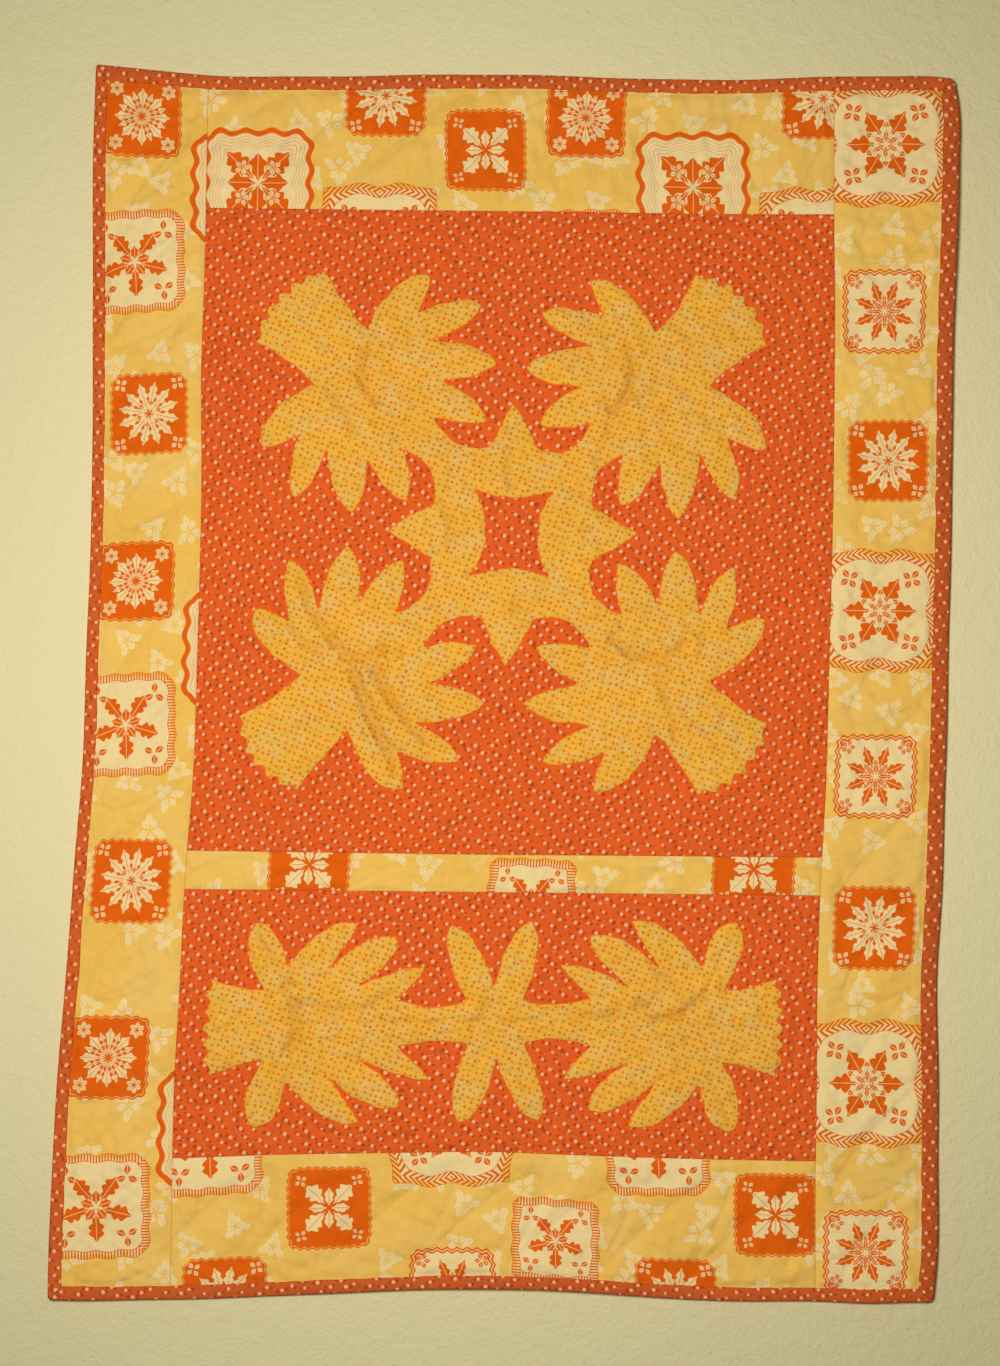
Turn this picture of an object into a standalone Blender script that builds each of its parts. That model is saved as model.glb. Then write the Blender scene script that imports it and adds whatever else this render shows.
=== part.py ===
"""Quilted wall hanging: two dotted panels, each with a cut-out plant sewn on it, in a printed border.

Metres, +Z up. The front faces -Y and the wall is the plane Y = 0. The origin is the middle of the
top edge, where the hanging is held. Every piece is laid out on the flat quilt first, by its place
across (from the middle) and its drop (from the top edge), and hang() then gives its place on the wall.
"""

import math

import bmesh
import bpy
import numpy as np
from mathutils import Vector
from mathutils.geometry import delaunay_2d_cdt

# Widths across and heights down the flat quilt.
BINDING = {"left": 0.0095, "right": 0.012, "top": 0.0105, "bottom": 0.010}
LEFT_STRIP = 0.0745
RIGHT_STRIP = 0.076
PANEL_WIDTH = 0.460
TOP_STRIP = 0.0895
LARGE_PANEL = 0.470
SASHING = 0.0275
LOWER_PANEL = 0.1885
BOTTOM_STRIP = 0.0915

# Thicknesses, front to back.
BODY = 0.0026  # top, wadding and back, sewn flat
CLOTH = 0.001  # a turned-in layer of cotton
PUFF = 0.0014  # how far the wadding swells between two lines of quilting
APPLIQUE_PUFF = 0.0012
SEAM_GAP = 0.0003
CLEARANCE = 0.0005  # between a cloth and what it lies on
WRAP_CLEARANCE = 0.0008  # between the folded binding and the quilt in it
FOLD = 0.0009  # the bevel of the binding's folded edge

# Quilting.
ECHO = 0.024  # from one shown echo line to the next around a plant
ECHO_START = 0.008
LEAF_CROWN = 0.009  # from a plant's edge to the crown of a leaf
LOOP_PITCH = 0.046  # the looped line of the border
LOOP_RADIUS = 0.017
LOOP_TROUGH = 0.008
SOFT_EDGE = 0.010  # where the relief dies away beside a seam
HEM = 0.0015  # the cloth stays flat to this far inside the binding

# Spacing of points.
PLANT_STEPS = 3
LOOP_STEPS = 14
EDGE_STEPS_ACROSS = 32
EDGE_STEPS_DOWN = 44
RELIEF_SPACING = 0.0145
HELD_SPACING = 0.0125
LATTICE = 0.0045
BACK_SPACING = 0.040
RIM_CLEAR = 0.0055

WIDTH = BINDING["left"] + LEFT_STRIP + PANEL_WIDTH + RIGHT_STRIP + BINDING["right"]
LEFT_EDGE, RIGHT_EDGE = -WIDTH / 2, WIDTH / 2
LEFT_SEAM = LEFT_EDGE + BINDING["left"] + LEFT_STRIP
RIGHT_SEAM = LEFT_SEAM + PANEL_WIDTH
MIDDLE = (LEFT_SEAM + RIGHT_SEAM) / 2
LARGE_TOP = BINDING["top"] + TOP_STRIP
LARGE_FOOT = LARGE_TOP + LARGE_PANEL
LOWER_TOP = LARGE_FOOT + SASHING
LOWER_FOOT = LOWER_TOP + LOWER_PANEL
HEIGHT = LOWER_FOOT + BOTTOM_STRIP + BINDING["bottom"]

# How far the hung quilt leaves its straight sides, to the right in metres, by the drop.
# drop, left edge, left seam, right seam, right edge
SIDES = np.array(
    [
        (0.000, 0.0024, 0.0014, 0.0015, 0.0013),
        (0.027, 0.0020, 0.0014, 0.0015, 0.0049),
        (0.061, 0.0018, 0.0014, 0.0015, 0.0043),
        (0.110, 0.0024, 0.0014, 0.0016, 0.0027),
        (0.160, 0.0037, 0.0009, 0.0024, 0.0010),
        (0.214, 0.0047, 0.0000, 0.0023, -0.0003),
        (0.309, 0.0058, 0.0016, 0.0016, -0.0006),
        (0.432, 0.0041, 0.0007, -0.0010, -0.0031),
        (0.518, 0.0028, -0.0008, -0.0031, -0.0053),
        (0.583, -0.0012, -0.0049, -0.0064, -0.0070),
        (0.663, -0.0055, -0.0076, -0.0088, -0.0109),
        (0.733, -0.0107, -0.0104, -0.0091, -0.0101),
        (0.787, -0.0125, -0.0108, -0.0098, -0.0104),
        (0.860, -0.0141, -0.0108, -0.0098, -0.0115),
        (0.8875, -0.0137, -0.0108, -0.0098, -0.0138),
    ]
)
# How far the hung quilt leaves its level lines, upwards in metres, by the place across.
# across, top edge, foot of the lower panel, bottom edge
LEVELS = np.array(
    [
        (-0.316, 0.0066, -0.0045, -0.0028),
        (-0.290, 0.0039, -0.0045, -0.0032),
        (-0.272, 0.0019, -0.0045, -0.0031),
        (-0.231, -0.0014, -0.0037, -0.0022),
        (-0.160, -0.0017, -0.0005, 0.0011),
        (-0.080, 0.0006, 0.0018, 0.0062),
        (-0.010, 0.0018, 0.0035, 0.0086),
        (0.060, 0.0004, 0.0016, 0.0066),
        (0.140, -0.0005, -0.0003, 0.0016),
        (0.229, 0.0025, -0.0011, 0.0011),
        (0.270, 0.0031, -0.0011, 0.0006),
        (0.300, 0.0026, -0.0011, 0.0018),
        (0.316, 0.0008, -0.0011, 0.0018),
    ]
)
# How far the back of the quilt stands off the wall, by the drop.
# drop, left edge, left seam, middle, right seam, right edge
LIFTS = np.array(
    [
        (0.000, 0.0022, 0.0034, 0.0022, 0.0030, 0.0056),
        (0.090, 0.0026, 0.0030, 0.0024, 0.0034, 0.0104),
        (0.220, 0.0034, 0.0024, 0.0030, 0.0030, 0.0076),
        (0.360, 0.0028, 0.0024, 0.0024, 0.0026, 0.0040),
        (0.500, 0.0044, 0.0028, 0.0022, 0.0028, 0.0046),
        (0.640, 0.0066, 0.0036, 0.0032, 0.0024, 0.0032),
        (0.770, 0.0040, 0.0030, 0.0050, 0.0030, 0.0048),
        (0.8875, 0.0060, 0.0034, 0.0084, 0.0036, 0.0064),
    ]
)
RIPPLE = 0.0006  # small ripples along the bound edge
RIPPLE_LENGTH = 0.096
RIPPLE_SLANT = 0.8
RIPPLE_DEPTH = 0.050

# A plant's outline runs through corners. Each has its place along the flower's axis and aside from it,
# how far the edge to the next corner swells outwards as a share of its length, and 1 if it is a leaf's tip.
MEDALLION = [
    (0.231, 0.038, -0.04, 0), (0.179, 0.029, 0.15, 0), (0.175, 0.092, 0.07, 1), (0.161, 0.066, 0.10, 0),
    (0.133, 0.102, 0.11, 1), (0.139, 0.058, 0.12, 0), (0.095, 0.080, 0.10, 1), (0.113, 0.042, 0.13, 0),
    (0.072, 0.043, 0.08, 1), (0.099, 0.017, -0.22, 0),
]  # fmt: skip
MEDALLION_MOUTH = {"reach": 0.242, "teeth": 7}
HUB = {"point": 0.096, "shoulder": (0.062, 0.019), "swell": 0.02}
WINDOW = {"corner": 0.043, "waist": (0.019, 0.025)}
GARLAND = [
    (0.209, 0.035, -0.03, 0), (0.169, 0.025, 0.15, 0), (0.177, 0.073, 0.22, 1), (0.152, 0.042, 0.14, 0),
    (0.099, 0.072, 0.03, 1), (0.120, 0.040, 0.12, 0), (0.072, 0.062, 0.15, 1), (0.099, 0.027, 0.05, 0),
    (0.052, 0.041, 0.05, 1), (0.072, 0.017, -0.08, 0), (0.023, 0.016, 0.13, 0), (0.032, 0.072, 0.13, 1),
    (0.000, 0.026, 0, 0),
]  # fmt: skip
GARLAND_MOUTH = {"reach": 0.211, "teeth": 7}
TOOTH = 0.0026
LEAN = 0.11  # how far a leaf's fullest place lies towards its tip

# How each part of a plant was laid by hand: the flat place of its middle, its shift, and how much its
# places spread for each metre across and each metre down.
MEDALLION_LAY = [
    ((-0.098, 0.240), (0.0001, 0.0000), (-0.025, -0.010), (0.049, -0.005)),
    ((0.094, 0.240), (-0.0064, 0.0014), (-0.028, -0.042), (0.005, -0.002)),
    ((-0.098, 0.431), (-0.0064, 0.0015), (-0.023, -0.002), (-0.103, -0.009)),
    ((0.094, 0.431), (-0.0027, 0.0020), (-0.031, 0.011), (0.043, -0.008)),
    ((-0.002, 0.335), (-0.0025, 0.0005), (-0.063, 0.014), (-0.031, 0.024)),
]
GARLAND_LAY = [
    ((-0.122, 0.692), (-0.0005, 0.0004), (-0.022, -0.028), (0.022, -0.008)),
    ((0.118, 0.692), (-0.0055, -0.0006), (-0.022, 0.007), (-0.012, 0.019)),
    ((-0.002, 0.692), (-0.0016, 0.0002), (-0.110, -0.045), (0.055, 0.009)),
]
LAY_REACH = 0.040

NOWHERE = np.empty((0, 2))


def smooth(x, stations, values):
    """The value at each x on a smooth curve through the stations. values has a row for each station,
    and may have a column for each x."""
    values = np.asarray(values, float)
    if values.ndim == 1:
        values = np.repeat(values[:, None], len(x), axis=1)
    slopes = np.gradient(values, stations, axis=0)
    low = np.clip(np.searchsorted(stations, x) - 1, 0, len(stations) - 2)
    span = stations[low + 1] - stations[low]
    t = (x - stations[low]) / span
    each = np.arange(len(x))
    return (
        (1 + 2 * t) * (1 - t) ** 2 * values[low, each]
        + t * (1 - t) ** 2 * span * slopes[low, each]
        + t * t * (3 - 2 * t) * values[low + 1, each]
        + t * t * (t - 1) * span * slopes[low + 1, each]
    )


def step(low, high, x):
    """0 below low, 1 above high, smooth between them."""
    t = np.clip((x - low) / (high - low), 0, 1)
    return t * t * (3 - 2 * t)


def lift(across, drop):
    """How far the back of the quilt stands off the wall."""
    columns = np.array([smooth(drop, LIFTS[:, 0], LIFTS[:, i]) for i in range(1, 6)])
    stations = np.array([LEFT_EDGE, LEFT_SEAM, MIDDLE, RIGHT_SEAM, RIGHT_EDGE])
    depth = np.minimum.reduce([across - LEFT_EDGE, RIGHT_EDGE - across, drop, HEIGHT - drop])
    ripple = np.sin(2 * math.pi * (across + RIPPLE_SLANT * drop) / RIPPLE_LENGTH)
    return smooth(across, stations, columns) + RIPPLE * ripple * (1 - step(0, RIPPLE_DEPTH, depth))


def hang(points, forward):
    """The places on the wall of points (across, drop) of the flat quilt, forward of its back."""
    across, drop = np.asarray(points, float).T
    sides = np.array([smooth(drop, SIDES[:, 0], SIDES[:, i]) for i in range(1, 5)])
    levels = [smooth(across, LEVELS[:, 0], LEVELS[:, i]) for i in range(1, 4)]
    still = np.zeros(len(across))
    rows = np.array([levels[0], still, still, levels[1], levels[2]])
    drops = np.array([0, LARGE_TOP, LOWER_TOP, LOWER_FOOT, HEIGHT])
    x = across + smooth(across, np.array([LEFT_EDGE, LEFT_SEAM, RIGHT_SEAM, RIGHT_EDGE]), sides)
    z = -drop + smooth(drop, drops, rows)
    return np.column_stack([x, -lift(across, drop) - forward, z])


def edge(a, b, swell, lean):
    """A curved edge of a plant from a to b, without b."""
    a, b = np.array(a), np.array(b)
    way = b - a
    side = np.array([way[1], -way[0]]) * swell * 4 / 3
    t = np.linspace(0, 1, PLANT_STEPS, endpoint=False)[:, None]
    c = a + (0.33 + lean) * way + (1 - 1.2 * lean) * side
    d = a + (0.67 + lean) * way + (1 + 1.2 * lean) * side
    return (1 - t) ** 3 * a + 3 * t * (1 - t) ** 2 * c + 3 * t * t * (1 - t) * d + t**3 * b


def half_plant(corners, mouth):
    """Half of an outline, from the middle of a flower's pinked mouth to the last corner, without it."""
    end, half = corners[0][:2]
    outline = []
    for k in range(mouth["teeth"] - 1):
        share = k / (mouth["teeth"] - 1)
        along = mouth["reach"] + (end - mouth["reach"]) * share**2
        outline.append([(along + (-TOOTH if k % 2 else TOOTH), half * share)])
    for (*here, swell, tip), (*there, _, next_tip) in zip(corners, corners[1:]):
        outline.append(edge(here, there, swell, LEAN * (next_tip - tip)))
    return np.vstack(outline)


def turned(points, degrees):
    """Points turned about the middle of a plant."""
    c, s = math.cos(math.radians(degrees)), math.sin(math.radians(degrees))
    return np.asarray(points) @ np.array([[c, s], [-s, c]])


def medallion():
    """(outline, window) of the square plant: four flowering heads on the diagonals and a pointed hub."""
    shoulder, point = turned([HUB["shoulder"], (HUB["point"], 0)], -45) * (1, -1)
    half = half_plant([*MEDALLION, (*shoulder, HUB["swell"], 0), (*point, 0, 0)], MEDALLION_MOUTH)
    quarter = np.vstack([turned([*half, point], 45), turned(half[:0:-1] * (1, -1), 135)])
    corners = turned([(WINDOW["corner"], 0)], 45)[0] * [(1, 1), (-1, 1), (-1, -1), (1, -1)]
    window = []
    for k, here in enumerate(corners):
        there = corners[(k + 1) % 4]
        hollow = abs(here[0]) - WINDOW["waist"][(k + 1) % 2]
        window.append(edge(here, there, -hollow / np.linalg.norm(there - here), 0))
    return np.vstack([turned(quarter, 90 * k) for k in range(4)]), np.vstack(window)


def garland():
    """Outline of the long plant: two flowering heads on one stem, with four leaves in its middle."""
    half = half_plant(GARLAND, GARLAND_MOUTH)
    upper = np.vstack([half, [GARLAND[-1][:2]], half[::-1] * (-1, 1)])
    return np.vstack([upper, upper[-2:0:-1] * (1, -1)])


def laid(loop, middle, lay):
    """A plant's outline on the flat quilt, with each part moved and spread as it was laid."""
    loop = loop * (1, -1) + middle
    moved = np.zeros_like(loop)
    weight = np.zeros((len(loop), 1))
    for centre, shift, across, down in lay:
        way = loop - centre
        near = np.exp(-np.sum(way**2, axis=1) / (2 * LAY_REACH**2))[:, None] + 1e-12
        moved += near * (shift + way @ np.array([across, down]))
        weight += near
    return loop + moved / weight


def inside(points, loops):
    """Which points lie inside the loops, by the even-odd rule."""
    x, y = np.asarray(points).T
    found = np.zeros(len(x), bool)
    for loop in loops:
        for (ax, ay), (bx, by) in zip(loop, np.roll(loop, -1, axis=0)):
            if ay != by:
                found ^= ((ay > y) != (by > y)) & (x < ax + (y - ay) * (bx - ax) / (by - ay))
    return found


def distance(points, line, closed=True):
    """How far each point is from a line of points."""
    points = np.asarray(points)
    nearest = np.full(len(points), np.inf)
    ends = np.roll(line, -1, axis=0) if closed else line[1:]
    for a, b in zip(line, ends):
        way = b - a
        t = np.clip((points - a) @ way / (way @ way), 0, 1)
        nearest = np.minimum(nearest, np.linalg.norm(points - a - t[:, None] * way, axis=1))
    return nearest


def rim_distance(points, loops):
    """How far each point is from the nearest of the loops."""
    return np.minimum.reduce([distance(points, loop) for loop in loops])


def thinned(points, spacing):
    """The points with none closer than spacing to one before it."""
    kept = NOWHERE
    for point in points:
        if not len(kept) or np.linalg.norm(kept - point, axis=1).min() >= spacing:
            kept = np.vstack([kept, point])
    return kept


def split(a, b):
    """Points on a straight side of a piece from a to b, without b. They fall on stations that all
    pieces share, so that two cloths bend at the same places along a seam."""
    axis = 0 if abs(b[0] - a[0]) > abs(b[1] - a[1]) else 1
    low, length, count = ((LEFT_EDGE, WIDTH, EDGE_STEPS_ACROSS), (0, HEIGHT, EDGE_STEPS_DOWN))[axis]
    stations = low + length * np.arange(1, count) / count
    near, far = min(a[axis], b[axis]), max(a[axis], b[axis])
    margin = 0.2 * length / count
    stations = stations[(stations > near + margin) & (stations < far - margin)]
    if b[axis] < a[axis]:
        stations = stations[::-1]
    points = np.tile(np.array(a, float), (len(stations) + 1, 1))
    points[1:, axis] = stations
    return points


def rectangle(left, top, right, foot):
    """The outline of a straight-sided piece, drawn in by half a seam gap."""
    g = SEAM_GAP / 2
    corners = [(left + g, top + g), (right - g, top + g), (right - g, foot - g), (left + g, foot - g)]
    return np.vstack([split(a, b) for a, b in zip(corners, corners[1:] + corners[:1])])


def triangles(loops, points):
    """(all points, faces) that fill the loops, through the points."""
    every = np.vstack([*loops, points])
    sides, start = [], 0
    for loop in loops:
        ids = range(start, start + len(loop))
        sides += list(zip(ids, [*ids[1:], start]))
        start += len(loop)
    made = delaunay_2d_cdt([Vector(p) for p in every], sides, [], 0, 1e-7)
    faces = np.array(made[2])
    return every, faces[inside(every[faces].mean(axis=1), loops)]


def lattice(loops, pitch):
    """A lattice of points inside the loops, clear of their rims."""
    low, high = np.vstack(loops).min(axis=0), np.vstack(loops).max(axis=0)
    u, v = np.meshgrid(*(np.arange(low[i] + pitch / 2, high[i], pitch) for i in range(2)))
    points = np.column_stack([u.ravel(), v.ravel()])
    points = points[inside(points, loops)]
    return points[rim_distance(points, loops) > RIM_CLEAR]


def relief_points(loops, relief, held):
    """Points on the stitched lines and on the crowns between them, which carry the quilting.
    held are places that must be among them."""
    points = lattice(loops, LATTICE)
    height = relief(points)
    stitched = thinned(np.vstack([held, points[height < 0.08]]), HELD_SPACING)
    crowns = thinned(points[height > 0.90], RELIEF_SPACING)
    return np.vstack([stitched, crowns])


def finish(name, mesh, material):
    """An object of the mesh, with smooth faces."""
    bmesh.ops.recalc_face_normals(mesh, faces=mesh.faces)
    data = bpy.data.meshes.new(name)
    mesh.to_mesh(data)
    mesh.free()
    data.materials.append(material)
    data.shade_smooth()
    data.set_sharp_from_angle(angle=math.radians(50))
    obj = bpy.data.objects.new(name, data)
    bpy.context.scene.collection.objects.link(obj)
    return obj


def cloth(name, loops, relief, thickness, puff, forward, material, held=NOWHERE):
    """A sheet of cloth as a closed solid: its back is smooth and its front carries the quilting."""
    front, front_faces = triangles(loops, relief_points(loops, relief, held))
    back, back_faces = triangles(loops, lattice(loops, BACK_SPACING))
    rim = sum(len(loop) for loop in loops)
    height = np.concatenate([np.zeros(rim), relief(front[rim:])])
    places = np.vstack([hang(front, forward + thickness + puff * height), hang(back, forward)])
    mesh = bmesh.new()
    verts = [mesh.verts.new(p) for p in places]
    for a, b, c in front_faces:
        mesh.faces.new((verts[a], verts[b], verts[c]))
    for a, b, c in back_faces + len(front):
        mesh.faces.new((verts[c], verts[b], verts[a]))
    start = 0
    for loop in loops:
        for i in range(len(loop)):
            a, b = start + i, start + (i + 1) % len(loop)
            mesh.faces.new((verts[a], verts[b], verts[b + len(front)], verts[a + len(front)]))
        start += len(loop)
    return finish(name, mesh, material)


def panel(name, top, foot, plant, material):
    """A dotted panel, quilted in lines that echo the plant sewn on it."""
    loops = [rectangle(LEFT_SEAM, top, RIGHT_SEAM, foot)]

    def relief(points):
        away = distance(points, plant[0])
        away[inside(points, plant[:1])] = 0
        swell = np.sin(math.pi * np.maximum(away - ECHO_START, 0) / ECHO) ** 2
        return swell * step(0, SOFT_EDGE, rim_distance(points, loops))

    return cloth(name, loops, relief, BODY, PUFF, 0, material)


def applique(name, plant, material):
    """A cut-out plant, sewn down along its edge and along lines inside it."""

    def relief(points):
        return np.sin(math.pi * rim_distance(points, plant) / (2 * LEAF_CROWN)) ** 2

    return cloth(name, plant, relief, CLOTH, APPLIQUE_PUFF, BODY + CLEARANCE, material)


def loop_line(left, top, right, foot):
    """The looped line of quilting that runs along the middle of a border strip."""
    wide = right - left > foot - top
    length, middle = (right - left, (top + foot) / 2) if wide else (foot - top, (left + right) / 2)
    turns = max(1, round(length / LOOP_PITCH))
    t = np.linspace(0.25, turns - 0.25, LOOP_STEPS * turns)
    along = (left if wide else top) + length * t / turns - LOOP_RADIUS * np.sin(2 * math.pi * t)
    aside = middle + LOOP_RADIUS * np.cos(2 * math.pi * t)
    return np.column_stack([along, aside] if wide else [aside, along])


def hem_depth(points):
    """How far inside the binding's inner edge each point lies."""
    across, drop = points.T
    sides = (across - LEFT_EDGE - BINDING["left"], RIGHT_EDGE - BINDING["right"] - across)
    return np.minimum.reduce([*sides, drop - BINDING["top"], HEIGHT - BINDING["bottom"] - drop])


def hem_points(loops):
    """Places along the binding's inner edge, where the cloth is held down."""
    left, right = LEFT_EDGE + BINDING["left"] + HEM, RIGHT_EDGE - BINDING["right"] - HEM
    top, foot = BINDING["top"] + HEM, HEIGHT - BINDING["bottom"] - HEM
    places = [(a, d) for a in np.arange(left, right, HELD_SPACING) for d in (top, foot)]
    places += [(a, d) for d in np.arange(top, foot, HELD_SPACING) for a in (left, right)]
    points = np.array(places)
    points = points[inside(points, loops)]
    return points[rim_distance(points, loops) > 0.25 * HELD_SPACING]


def strip(name, left, top, right, foot, material):
    """A border strip. A side that lies under the binding stops short of the outer edge."""
    tuck = CLOTH + CLEARANCE
    loops = [
        rectangle(
            max(left, LEFT_EDGE + tuck),
            max(top, tuck),
            min(right, RIGHT_EDGE - tuck),
            min(foot, HEIGHT - tuck),
        )
    ]
    line = loop_line(left, top, right, foot)

    def relief(points):
        swell = 1 - np.exp(-((distance(points, line, closed=False) / LOOP_TROUGH) ** 2))
        swell *= step(HEM, SOFT_EDGE, hem_depth(points))
        return swell * step(0, SOFT_EDGE, rim_distance(points, loops))

    return cloth(name, loops, relief, BODY, PUFF, 0, material, hem_points(loops))


def binding_section(width):
    """(inward from the edge, forward of the quilt's back) around the folded strip."""
    front, back = BODY + WRAP_CLEARANCE + CLOTH, -WRAP_CLEARANCE - CLOTH
    crease = CLOTH + 0.6 * CLEARANCE
    outer = [(width, front), (3 * FOLD, front), (FOLD, front - FOLD), (0, (front + back) / 2)]
    outer += [(FOLD, back + FOLD), (3 * FOLD, back), (width, back)]
    inner = [(width, back + CLOTH), (crease, back + CLOTH), (crease, front - CLOTH), (width, front - CLOTH)]
    return np.array(outer + inner)


def binding(side, material):
    """The folded strip that wraps one raw edge, front and back, mitred at its ends."""
    upright = side in ("left", "right")
    start, end = (0, HEIGHT) if upright else (LEFT_EDGE, RIGHT_EDGE)
    count = EDGE_STEPS_DOWN if upright else EDGE_STEPS_ACROSS
    before, after = ("top", "bottom") if upright else ("left", "right")
    outer_edge = {"left": LEFT_EDGE, "right": RIGHT_EDGE, "top": 0, "bottom": HEIGHT}[side]
    inward = 1 if side in ("left", "top") else -1
    inset, forward = binding_section(BINDING[side]).T
    mesh = bmesh.new()
    rings = []
    for i, station in enumerate(np.linspace(start, end, count + 1)):
        along = np.full(len(inset), station)
        if i == 0:
            along += SEAM_GAP + inset * BINDING[before] / BINDING[side]
        if i == count:
            along -= SEAM_GAP + inset * BINDING[after] / BINDING[side]
        aside = outer_edge + inward * inset
        flat = np.column_stack([aside, along] if upright else [along, aside])
        rings.append([mesh.verts.new(p) for p in hang(flat, forward)])
    for one, two in zip(rings, rings[1:]):
        for i in range(len(one)):
            j = (i + 1) % len(one)
            mesh.faces.new((one[i], one[j], two[j], two[i]))
    for ring in (rings[0], rings[-1]):
        for part in ((0, 1, 9, 10), (1, 2, 3, 4, 5, 8, 9), (5, 6, 7, 8)):
            mesh.faces.new([ring[i] for i in part])
    return finish(f"binding_{side}", mesh, material)


def fabric(name, colour):
    """A matt cotton."""
    material = bpy.data.materials.new(name)
    material.use_nodes = True
    shader = material.node_tree.nodes["Principled BSDF"]
    shader.inputs["Base Color"].default_value = (*colour, 1)
    shader.inputs["Roughness"].default_value = 0.85
    shader.inputs["Metallic"].default_value = 0
    material.diffuse_color = (*colour, 1)
    return material


def main():
    for obj in list(bpy.data.objects):
        bpy.data.objects.remove(obj)

    dotted = fabric("dotted_orange_cotton", (0.78, 0.10, 0.012))
    mottled = fabric("mottled_yellow_cotton", (0.80, 0.44, 0.055))
    printed = fabric("printed_yellow_cotton", (0.85, 0.50, 0.11))

    square_middle = (MIDDLE, (LARGE_TOP + LARGE_FOOT) / 2)
    square = [laid(loop, square_middle, MEDALLION_LAY) for loop in medallion()]
    long = [laid(garland(), (MIDDLE, (LOWER_TOP + LOWER_FOOT) / 2), GARLAND_LAY)]

    panel("panel_large", LARGE_TOP, LARGE_FOOT, square, dotted)
    panel("panel_lower", LOWER_TOP, LOWER_FOOT, long, dotted)
    applique("applique_medallion", square, mottled)
    applique("applique_garland", long, mottled)

    strip("border_left", LEFT_EDGE, 0, LEFT_SEAM, HEIGHT, printed)
    strip("border_right", RIGHT_SEAM, 0, RIGHT_EDGE, HEIGHT, printed)
    strip("border_top", LEFT_SEAM, 0, RIGHT_SEAM, LARGE_TOP, printed)
    strip("border_sashing", LEFT_SEAM, LARGE_FOOT, RIGHT_SEAM, LOWER_TOP, printed)
    strip("border_bottom", LEFT_SEAM, LOWER_FOOT, RIGHT_SEAM, HEIGHT, printed)

    for side in BINDING:
        binding(side, dotted)


main()
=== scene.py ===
# Hawaiian quilt wall hanging: the cloth, its prints and the light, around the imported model.
# Metres, +Z up, and the front faces -Y. Every cloth is laid out flat first, by its place across (from
# the middle) and its drop (from the top edge), and hangOnWall then gives its place on the wall.
import math

import bpy
import numpy as np
from mathutils import Matrix, Vector
from mathutils.geometry import delaunay_2d_cdt


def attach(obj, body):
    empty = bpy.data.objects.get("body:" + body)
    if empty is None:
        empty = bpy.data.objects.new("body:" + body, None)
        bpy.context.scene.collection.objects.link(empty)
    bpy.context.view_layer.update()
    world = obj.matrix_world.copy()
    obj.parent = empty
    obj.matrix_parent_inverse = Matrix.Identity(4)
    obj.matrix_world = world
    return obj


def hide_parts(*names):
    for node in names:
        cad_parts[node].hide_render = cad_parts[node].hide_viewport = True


print("quilt: loading the packed model")
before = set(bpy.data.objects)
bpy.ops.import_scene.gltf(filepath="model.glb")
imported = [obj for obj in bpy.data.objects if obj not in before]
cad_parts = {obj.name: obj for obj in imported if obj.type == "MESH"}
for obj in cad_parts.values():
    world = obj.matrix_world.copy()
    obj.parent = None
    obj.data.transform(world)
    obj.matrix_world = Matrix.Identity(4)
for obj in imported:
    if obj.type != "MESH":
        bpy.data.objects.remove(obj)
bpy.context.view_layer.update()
scene = bpy.context.scene


def newObject(name, data):
    obj = bpy.data.objects.new(name, data)
    scene.collection.objects.link(obj)
    return obj


# the camera: lens in millimetres on a 36 mm sensor, angles in degrees
cameraSetup = {"lens": 58.88, "place": (-0.0116, -1.6220, -0.5290), "pitch": 2.93, "roll": 0.6}

cameraData = bpy.data.cameras.new("photoCamera")
cameraData.lens = cameraSetup["lens"]
cameraObject = newObject("photoCamera", cameraData)
turn = Matrix.Rotation(math.radians(90 + cameraSetup["pitch"]), 4, "X")
roll = Matrix.Rotation(math.radians(cameraSetup["roll"]), 4, "Z")
cameraObject.matrix_world = Matrix.Translation(cameraSetup["place"]) @ turn @ roll
scene.camera = cameraObject

# widths across and heights down the flat quilt
quilt = {
    "bindingLeft": 0.0095,
    "leftStrip": 0.0745,
    "panelWidth": 0.460,
    "rightStrip": 0.076,
    "bindingRight": 0.012,
    "bindingTop": 0.0105,
    "topStrip": 0.0895,
    "largePanel": 0.470,
    "sashing": 0.0275,
    "lowerPanel": 0.1885,
    "bottomStrip": 0.0915,
    "bindingBottom": 0.010,
    "body": 0.0026,  # thickness of top, wadding and back where they are sewn flat
}
quiltWidth = sum(quilt[k] for k in ("bindingLeft", "leftStrip", "panelWidth", "rightStrip", "bindingRight"))
leftEdge, rightEdge = -quiltWidth / 2, quiltWidth / 2
leftSeam = leftEdge + quilt["bindingLeft"] + quilt["leftStrip"]
rightSeam = leftSeam + quilt["panelWidth"]
middle = (leftSeam + rightSeam) / 2
largeTop = quilt["bindingTop"] + quilt["topStrip"]
largeFoot = largeTop + quilt["largePanel"]
lowerTop = largeFoot + quilt["sashing"]
lowerFoot = lowerTop + quilt["lowerPanel"]
quiltHeight = lowerFoot + quilt["bottomStrip"] + quilt["bindingBottom"]

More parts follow.
